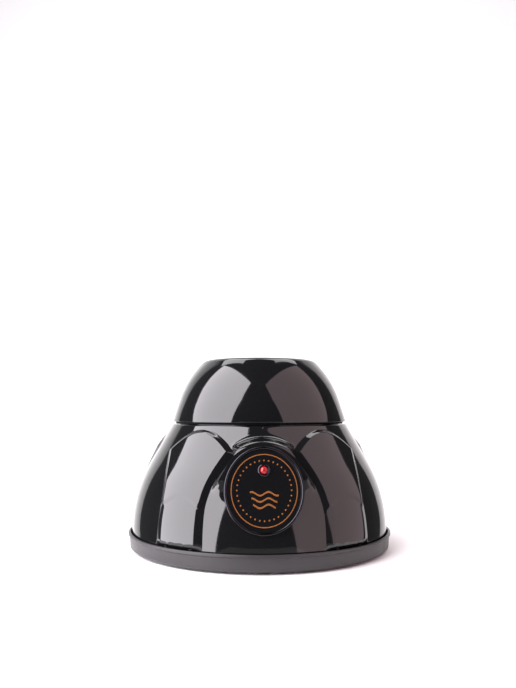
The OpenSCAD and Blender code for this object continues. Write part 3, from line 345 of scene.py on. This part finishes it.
def draw_to_pocket(a, z, cells):
    """Leaves out the cells that reach into the inlet's pocket and moves their corners onto its circle."""
    x, y = side_radius(z) * np.sin(rear - a), z - inlet_z
    away = np.hypot(x, y)
    inside = (away < pocket_r).ravel()
    cut = inside[cells].any(axis=1)
    rim = np.zeros(a.size, bool)
    rim[np.unique(cells[cut])] = True
    rim = (rim & ~inside).reshape(a.shape)
    pull = np.where(rim, pocket_r / np.maximum(away, 1e-6), 1)
    new_z = inlet_z + y * pull
    new_a = np.where(rim, rear - np.arcsin(np.clip(x * pull / side_radius(new_z), -1, 1)), a)
    return new_a, new_z, cells[~cut]


skin_points, skin_inner, skin_cells = [], [], []
count = 0
for k in range(5):
    centre = first_panel + arch_step * k
    a, z = mirrored(half_a, -1) + centre, mirrored(half_z)
    rise, pier = mirrored(half_rise), mirrored(half_pier)
    cells = quads(*a.shape)
    if abs(np.cos(centre)) < 0.01:
        rise = rise * sunk
        a = a - 2 * np.pi * np.round((centre - rear) / (2 * np.pi))
        across = side_radius(z) * np.sin(rear - a)
        along = (z - rocker_z) / np.cos(side_angle(rocker_z))
        window = np.abs(across) < rocker_w / 2 - flange_lap_x
        window &= np.abs(along) < rocker_h / 2 - flange_lap_z
        cells = cells[~window.ravel()[cells].all(axis=1)]
        a, z, cells = draw_to_pocket(a, z, cells)
    skin_points.append(raise_seat(dome_points(a, z, rise), pier).reshape(-1, 3))
    skin_inner.append(dome_points(a, z, -wall).reshape(-1, 3))
    skin_cells.append(cells[:, ::-1] + count)
    count += a.size
print("outer skin:", count, "points")

# %% [markdown]
# The inner skin is the same grid, set in by the wall. Wherever the outer skin has an
# open edge, at the foot, at the seam and round both openings, a strip joins the two.


# %% Lower dome: solid wall
def thick(outer, inner, cells):
    """A closed wall: the outer skin, the inner skin turned round, and a strip along every open edge."""
    outer, welded = weld(outer, cells)
    first = np.zeros(len(outer), int)
    first[welded.ravel()] = cells.ravel()
    n = len(outer)
    start, end = welded.ravel(), np.roll(welded, -1, axis=1).ravel()
    lone = (start != end) & ~np.isin(start * n + end, end * n + start)
    strip = np.stack([end, start, start + n, end + n], axis=1)[lone]
    return np.concatenate([outer, inner[first]]), np.concatenate([welded, welded[:, ::-1] + n, strip])


points, cells = thick(np.concatenate(skin_points), np.concatenate(skin_inner), np.concatenate(skin_cells))
lower_dome = new_object("lower_dome_shell", points, cells, smooth_angle=40)
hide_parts("lower_dome")
print("lower dome:", len(lower_dome.data.polygons), "faces")

# %% [markdown]
# The upper dome is turned from one line: a leaning side, a long arc, a short straight,
# a rounded edge, the flat top, and a lip that turns down inside the mouth. The same
# line closes on the inside, down to the spigot that drops into the lower dome.

# %% Upper dome
cap_lean, cap_curve_r, cap_straight = np.radians(17.7), 48.0, 10.0
rim_lean, rim_straight, rim_round = np.radians(42), 1.7, 5.0
seam_gap, lip_depth, lip_wall, cap_wall = 1.3, 6.0, 2.2, 2.5
lip_round, lip_chamfer = 0.6, 0.3
edge_drop, groove_depth = 0.35, 1.6
spigot_gap, spigot_wall, spigot_depth = 0.2, 2, 5
ledge, shelf_gap = 1.2, 0.03
cap_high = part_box("upper_dome")[1]
cap_r, top_z = cap_high.x / MM, cap_high.z / MM


def arc(centre, r, a0, a1, steps):
    """Points of an arc in the half plane of a turned line, from one angle to another."""
    t = np.linspace(a0, a1, steps)
    return np.stack([centre[0] + r * np.cos(t), centre[1] + r * np.sin(t)], axis=1)


def turned(name, line, body="housing", steps=256, centre=(0, 0), smooth_angle=35):
    """A closed line of radius and height turned once round an upright axis."""
    a = np.linspace(0, 2 * np.pi, steps + 1)[:-1]
    r, z = line[:, 0, None], np.repeat(line[:, 1, None], steps, axis=1)
    grid = np.stack([centre[0] + r * np.cos(a), centre[1] + r * np.sin(a), z], axis=-1)
    cells = quads(len(line), steps, close_rows=True, close_columns=True)
    points, cells = weld(grid.reshape(-1, 3), cells[:, ::-1])
    return new_object(name, points, cells, body, smooth_angle)


cap_z = seam_z + seam_gap
straight_top = np.array([cap_r - cap_straight * np.tan(cap_lean), lower_high.z / MM + 1 + cap_straight])
curve_axis = straight_top - cap_curve_r * np.array([np.cos(cap_lean), np.sin(cap_lean)])
rim_start = curve_axis + cap_curve_r * np.array([np.cos(rim_lean), np.sin(rim_lean)])
round_start = rim_start + rim_straight * np.array([-np.sin(rim_lean), np.cos(rim_lean)])
round_axis = round_start - rim_round * np.array([np.cos(rim_lean), np.sin(rim_lean)])
mouth_r = 23.2


def cap_line(d):
    """The outer line set in by d, from the seam up to the flat top."""
    low = curve_axis + (cap_curve_r - d) * np.array([np.cos(cap_lean), np.sin(cap_lean)])
    foot = [low[0] + (low[1] - cap_z) * np.tan(cap_lean), cap_z]
    return np.concatenate([
        [foot], arc(curve_axis, cap_curve_r - d, cap_lean, rim_lean, 24),
        arc(round_axis, rim_round - d, rim_lean, np.pi / 2, 12),
    ])


outer = cap_line(0)
rolled_edge = outer[0] + [[-0.4, -edge_drop], [-0.14, -0.26]]
outer = np.concatenate([rolled_edge, outer])
lip = np.concatenate([
    [[mouth_r + lip_round, top_z]],
    arc((mouth_r + lip_round, top_z - lip_round), lip_round, np.pi / 2, np.pi, 6),
    [
        [mouth_r, top_z - lip_depth + lip_chamfer], [mouth_r + lip_chamfer, top_z - lip_depth],
        [mouth_r + lip_wall, top_z - lip_depth], [mouth_r + lip_wall, top_z - cap_wall],
    ],
])
inner_cap = cap_line(cap_wall)[::-1]
spigot_r = side_radius(seam_z) - wall / np.cos(side_lean) - spigot_gap
inner_cap = inner_cap[inner_cap[:, 1] > cap_z + ledge + 0.1]
collar_r = side_radius(seam_z) - groove_depth
spigot_low, shelf_z = seam_z - spigot_depth, seam_z + shelf_gap
neck = np.array([
    [spigot_r - spigot_wall, cap_z + ledge], [spigot_r - spigot_wall, spigot_low], [spigot_r, spigot_low],
    [spigot_r, shelf_z], [collar_r, shelf_z], [collar_r, cap_z - edge_drop],
])
cap_section = np.concatenate([outer, lip, inner_cap, neck])
upper_dome = turned("upper_dome_shell", cap_section, smooth_angle=50)
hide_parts("upper_dome")
print("upper dome: radius", round(cap_r, 2), "top", round(top_z, 2))

# %% [markdown]
# The badge is a plated oval band round a glossy disc. The band is a small closed
# section carried round an oval, and the disc is slightly crowned.

# %% Badge ring and disc
oval_steps = 192
oval_t = np.linspace(0, 2 * np.pi, oval_steps + 1)[:-1]


def oval(set_in):
    """Half width and half height of the badge's outline, set in."""
    return badge_w / 2 - set_in, badge_h / 2 - set_in


def on_oval(set_in, height):
    """A ring of points on the badge's oval, set in, at a height over its seat."""
    w, h = oval(set_in)
    return on_badge(w * np.cos(oval_t), h * np.sin(oval_t), height)


band_foot = -4.4
band = [
    (0.06, band_foot), (0.05, 0.35), (0.12, 0.62), (0.32, 0.83), (0.62, 0.9), (0.95, 0.84), (1.18, 0.64),
    (1.28, 0.3), (1.28, band_foot),
]
ring = np.stack([on_oval(s, h) for s, h in band])
points, faces = weld(ring.reshape(-1, 3), quads(len(band), oval_steps, close_rows=True, close_columns=True))
badge_ring = new_object("badge_band", points, faces, smooth_angle=60)
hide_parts("badge_ring")

lamp_up, lamp_seat, lamp_r, lamp_bezel_r = 8.4, 0.4, 1.75, 2.8
lens_high, lens_foot, bezel_foot = 0.95 * lamp_r, -4, -4.4
shrink = np.concatenate([[0, 0, 0.02], np.linspace(0.06, 1, 12)])
disc_height = np.concatenate([[-1, 0.3], 0.38 + 0.04 * (1 - (1 - shrink[2:]) ** 2)])
disc_w, disc_h = oval(ring_w + 0.03)
scale = 1 - shrink[:, None]
disc = on_badge(disc_w * scale * np.cos(oval_t), disc_h * scale * np.sin(oval_t), disc_height[:, None])
points, faces = weld(disc.reshape(-1, 3), quads(len(disc), oval_steps, close_columns=True))
badge_disc = new_object("badge_plate", points, faces, smooth_angle=50)
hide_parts("badge_disc")
print("badge:", badge_w, "x", badge_h, "mm")

# %% [markdown]
# The lamp is a red lens in a turned metal bezel. Both are turned about the badge's own
# outward axis.


# %% Lamp
def turned_on_badge(name, line, replaces, steps=64):
    """A line of radius and height turned about the lamp's axis; it may start and end on the axis."""
    a = np.linspace(0, 2 * np.pi, steps + 1)[:-1]
    grid = np.stack([on_badge(r * np.cos(a), lamp_up + r * np.sin(a), lamp_seat + h) for r, h in line])
    closed = line[0][0] > 0
    points, faces = weld(grid.reshape(-1, 3), quads(len(line), steps, close_rows=closed, close_columns=True))
    piece = new_object(name, points, faces, smooth_angle=50)
    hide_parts(replaces)
    return piece


lens_curve = [(lamp_r * np.cos(t), lens_high * np.sin(t)) for t in np.linspace(0, np.pi / 2, 12)]
lens_line = [(0, lens_foot), (lamp_r, lens_foot), *lens_curve[:-1], (0, lens_high)]
bezel_line = [
    (2.2, bezel_foot), (2.2, 0.02), (lamp_bezel_r, 0.02), (lamp_bezel_r, 0.3), (2.72, 0.5), (2.5, 0.74),
    (2.2, 0.86), (1.98, 0.84), (1.84, 0.66), (1.8, 0.3), (1.8, bezel_foot),
]
lamp_bezel = turned_on_badge("lamp_collar", bezel_line, "lamp_bezel")
lamp_lens = turned_on_badge("lamp_dome", lens_line, "lamp_lens")
print("lamp on the badge at", [round(float(v), 1) for v in on_badge(0, lamp_up, lamp_seat)])

# %% [markdown]
# The return springs shorten as the cup is pressed, by the press's travel of 2.5 mm; their
# mesh is a plain copy of the solid's. Small edges of the moulded pieces that show get a
# rounded bevel, since no moulded edge is sharp.

# %% Springs and edges
springs = bpy.data.objects.new("spring_coils", frame["nodes"]["return_springs"].data.copy())
bpy.context.scene.collection.objects.link(springs)
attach(springs, "housing")
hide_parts("return_springs")
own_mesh(springs)

bevel_mm = {
    "base_tray": 0.2, "rubber_feet": 0.4, "rubber_cup": 0.3, "cup_carrier": 0.2, "rocker_frame": 0.25,
    "rocker_key": 0.3, "inlet_body": 0.2, "inlet_nut": 0.15, "motor_cradle": 0.25, "eccentric_hub": 0.2,
}
for node, width in bevel_mm.items():
    bevel = frame["nodes"][node].modifiers.new("moulded_edge", "BEVEL")
    bevel.width, bevel.segments, bevel.limit_method = width * MM, 2, "ANGLE"
    bevel.angle_limit = np.radians(35)
    bevel.harden_normals = False

# %% [markdown]
# Materials come next. Each starts from what the real surface is made of. Colours are
# written as on a screen and turned to linear light by one function, and one function
# adds a node with its settings and links.


# %% Colour and node helpers
def linear(hex_colour):
    """A screen colour such as 1A1A1C as linear red, green and blue."""
    c = np.array([int(hex_colour[n:n + 2], 16) for n in (0, 2, 4)]) / 255
    return tuple(np.where(c <= 0.04045, c / 12.92, ((c + 0.055) / 1.055) ** 2.4)) + (1,)


def add(tree, kind, settings=None, **links):
    """Adds a node: settings are its properties or its sockets' values, links are sockets to join."""
    node = tree.nodes.new(kind)
    for key, value in (settings or {}).items():
        if key in node.inputs:
            node.inputs[key].default_value = value
        else:
            setattr(node, key, value)
    for key, source in links.items():
        tree.links.new(source, node.inputs[key.replace("_", " ")])
    return node


def finish(name, colour, roughness, grain_mm=None, bump_um=0, uneven=0.0, **shader):
    """A surface with its colour, and where asked a fine grain that bumps it and varies its gloss."""
    material = bpy.data.materials.new(name)
    material.use_nodes = True
    tree = material.node_tree
    tree.nodes.clear()
    settings = {"Base Color": linear(colour), "Roughness": roughness}
    settings.update({key.replace("_", " "): value for key, value in shader.items()})
    surface = add(tree, "ShaderNodeBsdfPrincipled", settings)
    output = add(tree, "ShaderNodeOutputMaterial")
    tree.links.new(surface.outputs[0], output.inputs["Surface"])
    if grain_mm:
        place = add(tree, "ShaderNodeTexCoord")
        grain_size = {"Scale": 1000 / grain_mm, "Detail": 3.0}
        grain = add(tree, "ShaderNodeTexNoise", grain_size, Vector=place.outputs["Object"])
        bump_height = {"Strength": 1.0, "Distance": bump_um * 1e-6}
        bump = add(tree, "ShaderNodeBump", bump_height, Height=grain.outputs[0])
        tree.links.new(bump.outputs[0], surface.inputs["Normal"])
        if uneven:
            patches = {"Scale": 90.0, "Detail": 4.0}
            wear = add(tree, "ShaderNodeTexNoise", patches, Vector=place.outputs["Object"])
            limits = {
                "From Min": 0.3, "From Max": 0.7, "To Min": roughness - uneven, "To Max": roughness + uneven,
            }
            spread = add(tree, "ShaderNodeMapRange", limits, Value=wear.outputs[0])
            tree.links.new(spread.outputs[0], surface.inputs["Roughness"])
    return material


def dress(piece, material):
    """Gives a piece one material; a solid keeps its mesh and only its slots change."""
    piece.data.materials.clear()
    piece.data.materials.append(material)


# %% [markdown]
# The dome is black ABS from a polished mould: a clear, hard reflection with a very
# faint waviness, which is the mark of a moulded wall. The seam's groove is painted shade:
# matt near black for the dark gap between the domes. The tray is satin ABS, the cup
# and the feet are rubber, and what moves inside is nylon, acetal, steel and brass.

# %% Finishes
moulded_gloss_abs = finish(
    "moulded_gloss_abs", "0B0B0D", 0.06, grain_mm=9, bump_um=14, uneven=0.015, IOR=1.54
)
# Painted shade for the seam groove: matt near black with little reflection, standing for the shade in the
# gap between the domes
painted_shade_groove = finish(
    "painted_shade_groove", "060607", 0.85, grain_mm=0.3, bump_um=10, Specular_IOR_Level=0.15
)
moulded_satin_abs = finish(
    "moulded_satin_abs", "272527", 0.42, grain_mm=0.5, bump_um=9, uneven=0.05, IOR=1.5
)
moulded_black_nylon = finish(
    "moulded_black_nylon", "161618", 0.45, grain_mm=0.6, bump_um=8, uneven=0.05, IOR=1.53
)
moulded_pale_acetal = finish("moulded_pale_acetal", "E4E0D4", 0.4, grain_mm=0.8, bump_um=5, IOR=1.48)
moulded_rubber = finish("moulded_rubber", "17171A", 0.68, grain_mm=0.5, bump_um=14, uneven=0.06, IOR=1.52)
plated_ring = finish("plated_ring", "303034", 0.16, grain_mm=1.2, bump_um=1.5, uneven=0.04, Metallic=1.0)
turned_steel = finish("turned_steel", "B4B6BA", 0.26, grain_mm=0.4, bump_um=2, uneven=0.06, Metallic=1.0)
zinc_plate = finish("zinc_plate", "8F9092", 0.36, grain_mm=0.5, bump_um=3, uneven=0.06, Metallic=1.0)
machined_brass = finish("machined_brass", "C79A4B", 0.27, grain_mm=0.5, bump_um=2, uneven=0.05, Metallic=1.0)
solder_masked_board = finish("solder_masked_board", "1B5A31", 0.32, grain_mm=0.7, bump_um=4, IOR=1.5)
plunger_plastic = finish("plunger_plastic", "A33427", 0.4, grain_mm=0.7, bump_um=4, IOR=1.49)
wire_sleeve = finish("wire_sleeve", "9A2323", 0.45, grain_mm=0.7, bump_um=4, IOR=1.5)
lamp_plastic = finish(
    "lamp_plastic", "8C0C14", 0.08, grain_mm=2, bump_um=2, IOR=1.5, Emission_Color=linear("FF2A22"),
    Emission_Strength=0.01,
)
print("finishes:", len(bpy.data.materials))

# %% [markdown]
# The badge's face is glossy black with copper foil. The foil is a thin oval line near
# the edge, a ring of small dots and three waves, drawn from distances in the badge's
# own plane, so it stays where it is from any side.


# %% Badge face
def badge_foil():
    """Black lacquer with copper foil where a mask of oval distances says so, in millimetres."""
    foil_blur = 0.04
    line_in, line_half = 3.2, 0.17
    dots, dots_r, dot_half = 36, 11.6, 0.32
    wave_heights, wave_length, wave_swing, wave_stroke = (-1.4, -4.0, -6.6), 7.2, 0.75, 0.36
    wave_reach, reach_per_height = 6.4, 0.25
    material = bpy.data.materials.new("lacquer_and_copper_foil")
    material.use_nodes = True
    tree = material.node_tree
    tree.nodes.clear()
    surface = add(tree, "ShaderNodeBsdfPrincipled", {"Roughness": 0.07, "IOR": 1.52})
    output = add(tree, "ShaderNodeOutputMaterial")
    tree.links.new(surface.outputs[0], output.inputs["Surface"])
    place = add(tree, "ShaderNodeAttribute", {"attribute_name": "badge_place"})
    axes = add(tree, "ShaderNodeSeparateXYZ", Vector=place.outputs["Vector"])

    def maths(operation, a, b=None):
        node = add(tree, "ShaderNodeMath", {"operation": operation})
        for n, value in enumerate((a, b)):
            if isinstance(value, bpy.types.NodeSocket):
                tree.links.new(value, node.inputs[n])
            elif value is not None:
                node.inputs[n].default_value = value
        return node.outputs[0]

    def within(value, centre, half):
        """1 where a value is within half of the centre, with a soft edge."""
        off = maths("ABSOLUTE", maths("SUBTRACT", value, centre))
        limits = {"From Min": half + foil_blur, "From Max": half - foil_blur}
        return add(tree, "ShaderNodeMapRange", limits, Value=off).outputs[0]

    x, y = axes.outputs["X"], axes.outputs["Y"]
    tall = maths("MULTIPLY", y, badge_w / badge_h)
    radius = maths("SQRT", maths("ADD", maths("MULTIPLY", x, x), maths("MULTIPLY", tall, tall)))
    angle = maths("ARCTAN2", tall, x)
    line = within(radius, badge_w / 2 - line_in, line_half)
    turn = maths("FRACT", maths("ADD", maths("MULTIPLY", angle, dots / (2 * np.pi)), 0.5))
    along = maths("MULTIPLY", maths("SUBTRACT", turn, 0.5), 2 * np.pi * dots_r / dots)
    across = maths("SUBTRACT", radius, dots_r)
    squares = maths("MULTIPLY", along, along), maths("MULTIPLY", across, across)
    from_dot = maths("SQRT", maths("ADD", *squares))
    dot = within(from_dot, 0.0, dot_half)
    # Three waves under the lamp, each shorter than the one above it
    waves = None
    for height in wave_heights:
        wave = maths("MULTIPLY", maths("SINE", maths("MULTIPLY", x, 2 * np.pi / wave_length)), wave_swing)
        stroke = within(maths("SUBTRACT", y, wave), height, wave_stroke)
        stroke = maths("MULTIPLY", stroke, within(x, 0.0, wave_reach + height * reach_per_height))
        waves = stroke if waves is None else maths("MAXIMUM", waves, stroke)
    foil = maths("MAXIMUM", maths("MAXIMUM", line, dot), waves)
    colour = add(tree, "ShaderNodeMix", {"data_type": "RGBA"})
    colour.inputs[6].default_value = linear("09090B")
    colour.inputs[7].default_value = linear("D68A4E")
    tree.links.new(foil, colour.inputs[0])
    tree.links.new(colour.outputs[2], surface.inputs["Base Color"])
    metal = maths("MULTIPLY", foil, 0.85)
    tree.links.new(metal, surface.inputs["Metallic"])
    gloss = add(tree, "ShaderNodeMapRange", {"To Min": 0.07, "To Max": 0.3}, Value=foil)
    tree.links.new(gloss.outputs[0], surface.inputs["Roughness"])
    return material


place = badge_disc.data.attributes.new("badge_place", "FLOAT_VECTOR", "POINT")
world = np.empty(3 * len(badge_disc.data.vertices), np.float32)
badge_disc.data.vertices.foreach_get("co", world)
local = (world.reshape(-1, 3) / MM - badge_origin) @ badge_axes.T
place.data.foreach_set("vector", local.astype(np.float32).ravel())
dress(badge_disc, badge_foil())

# %% [markdown]
# Every other piece takes the finish of its material slot in the record.

# %% Dress the pieces
finish_of_slot = {
    "gloss_black": moulded_gloss_abs, "tray_plastic": moulded_satin_abs, "satin_black": moulded_black_nylon,
    "inner_plastic": moulded_black_nylon, "pale_plastic": moulded_pale_acetal, "badge_metal": plated_ring,
    "lamp_red": lamp_plastic, "rubber": moulded_rubber, "steel": turned_steel, "screw_steel": zinc_plate,
    "brass": machined_brass, "board_green": solder_masked_board, "plunger_red": plunger_plastic,
    "wire_skin": wire_sleeve,
}
slot_of_node = {row["node"]: row["material_slot"] for row in frame["record"]["subparts"]}
for node, piece in frame["nodes"].items():
    if slot_of_node[node] in finish_of_slot:
        dress(piece, finish_of_slot[slot_of_node[node]])
dress(lower_dome, moulded_gloss_abs)
dress(upper_dome, moulded_gloss_abs)
dress(springs, turned_steel)
# Faces inside the seam's groove take the painted shade finish, a dark matt band where shade falls between
# the domes
upper_dome.data.materials.append(painted_shade_groove)
centres = np.empty(3 * len(upper_dome.data.polygons), np.float32)
upper_dome.data.polygons.foreach_get("center", centres)
centres = centres.reshape(-1, 3) / MM
in_groove = (np.hypot(centres[:, 0], centres[:, 1]) > spigot_r) & (centres[:, 2] < cap_z - 0.2)
upper_dome.data.polygons.foreach_set("material_index", in_groove.astype(np.int32))
dress(badge_ring, plated_ring)
dress(lamp_bezel, plated_ring)
dress(lamp_lens, lamp_plastic)

# %% [markdown]
# The studio is a white table in front of a backlit white wall, which runs on as a low
# floor under the table. The table ends just in front of the machine, so the foot of the
# dome mirrors the dark room and not the table.


# %% Table and wall
def stage_sheet(name, half_width, line, material):
    """A sheet of studio paper: a line of y and z drawn out to both sides."""
    x = np.array([-half_width, half_width])
    y, z = np.array(line, float).T[:, :, None]
    grid = np.stack(np.broadcast_arrays(x, y, z), axis=-1)
    mesh = bpy.data.meshes.new(name)
    mesh.from_pydata((grid.reshape(-1, 3) * MM).tolist(), [], quads(len(line), 2)[:, ::-1].tolist())
    mesh.shade_smooth()
    sheet = bpy.data.objects.new(name, mesh)
    bpy.context.scene.collection.objects.link(sheet)
    mesh.materials.append(material)


studio_paper = finish("studio_paper", "F6F6F6", 0.9)
backlit_backdrop = finish(
    "backlit_backdrop", "F6F6F6", 0.9, Emission_Color=(1, 1, 1, 1), Emission_Strength=0.3
)
stage_sheet("table_top", 92, [[-84, 0], [230, 0]], studio_paper)
bend, bend_r = np.linspace(0, np.pi / 2, 16), 400
wall_bend = np.stack([700 + bend_r * np.sin(bend), -20 - bend_r * np.cos(bend)], axis=1)
stage_sheet("studio_wall", 1250, [[-2600, -420], *wall_bend, [1100, 1600]], backlit_backdrop)

# %% [markdown]
# Gloss shows only what it mirrors, so the lights are large panels that reach below the
# table's edge: a bright one on the left and a dim, warmer one on the right, with a dark
# room between them where the camera stands. Two dim panels behind the machine draw its
# outline, and two small lamps over it light the rim of the cap and the table.


# %% Lights
def panel_light(name, azimuth, elevation, across, low, high, radiance, tint=(1, 1, 1), distance=700):
    """A flat soft light, square to a direction seen from the machine.

    Azimuth is counted from the camera to the right. Across, low and high are the places of
    its edges as shares of the distance.
    """
    a, e = np.radians(azimuth), np.radians(elevation)
    side = np.array([np.cos(a), np.sin(a), 0])
    out = np.array([np.sin(a) * np.cos(e), -np.cos(a) * np.cos(e), np.sin(e)])
    up = np.cross(side, out) * np.sign(np.cross(side, out)[2])
    width, height = 2 * across * distance * MM, (high - low) * distance * MM
    light = bpy.data.lights.new(name, "AREA")
    light.shape, light.size, light.size_y = "RECTANGLE", width, height
    light.energy = radiance * np.pi * width * height
    light.color = tint
    lamp = bpy.data.objects.new(name, light)
    bpy.context.scene.collection.objects.link(lamp)
    place = np.array([0, 0, 60]) + distance * (out + up * (low + high) / 2)
    lamp.location = Vector((place * MM).tolist())
    lamp.rotation_euler = Vector(out.tolist()).to_track_quat("Z", "Y").to_euler()
    return lamp


panel_light("left_panel", -66, 20, 0.63, -0.75, 1.0, 8.5, (0.99, 0.95, 1.0))
panel_light("right_panel", 61, 20, 0.75, -0.75, 1.0, 1.5, (1.0, 0.76, 0.8))
panel_light("back_left_panel", -143, 8, 0.27, -0.6, 0.9, 0.5)
panel_light("back_right_panel", 143, 8, 0.27, -0.6, 0.9, 0.3, (1.0, 0.9, 0.92))
panel_light("left_ceiling_lamp", -135, 67, 0.22, -0.22, 0.22, 5.0)
panel_light("right_ceiling_lamp", 135, 67, 0.22, -0.22, 0.22, 4.0)
studio = bpy.data.worlds.new("studio_room")
studio.use_nodes = True
room = studio.node_tree.nodes["Background"]
room.inputs["Color"].default_value = (1, 1, 1, 1)
room.inputs["Strength"].default_value = 0.1
bpy.context.scene.world = studio
bpy.context.scene.view_settings.view_transform = "Standard"

# %% [markdown]
# The camera was fitted to the ellipses of the tray's rim and the seam: it stands
# 344 mm away, lower than the machine's top, and looks up a little. The machine is
# turned by two degrees, so the camera stands a little to its left.

# %% Camera
photo_w, photo_h = 516, 688
camera_distance, camera_height, camera_side = 343.5, 69.4, np.radians(2.0)
focal_px, axis_px, pitch = 661.0, 259.3, 0.0942
sensor = 36
camera_data = bpy.data.cameras.new("photo_camera")
camera_data.sensor_width = sensor
camera_data.lens = sensor * focal_px / photo_h
camera = bpy.data.objects.new("photo_camera", camera_data)
bpy.context.scene.collection.objects.link(camera)
camera_x, camera_y = -camera_distance * np.sin(camera_side), -camera_distance * np.cos(camera_side)
camera.location = Vector((camera_x * MM, camera_y * MM, camera_height * MM))
heading = -camera_side + np.arctan((axis_px - photo_w / 2) / focal_px)
camera.rotation_euler = (np.pi / 2 + pitch, 0, heading)
camera_data.clip_start, camera_data.clip_end = 0.01, 10
bpy.context.scene.camera = camera
print("lens", round(camera_data.lens, 2), "mm")
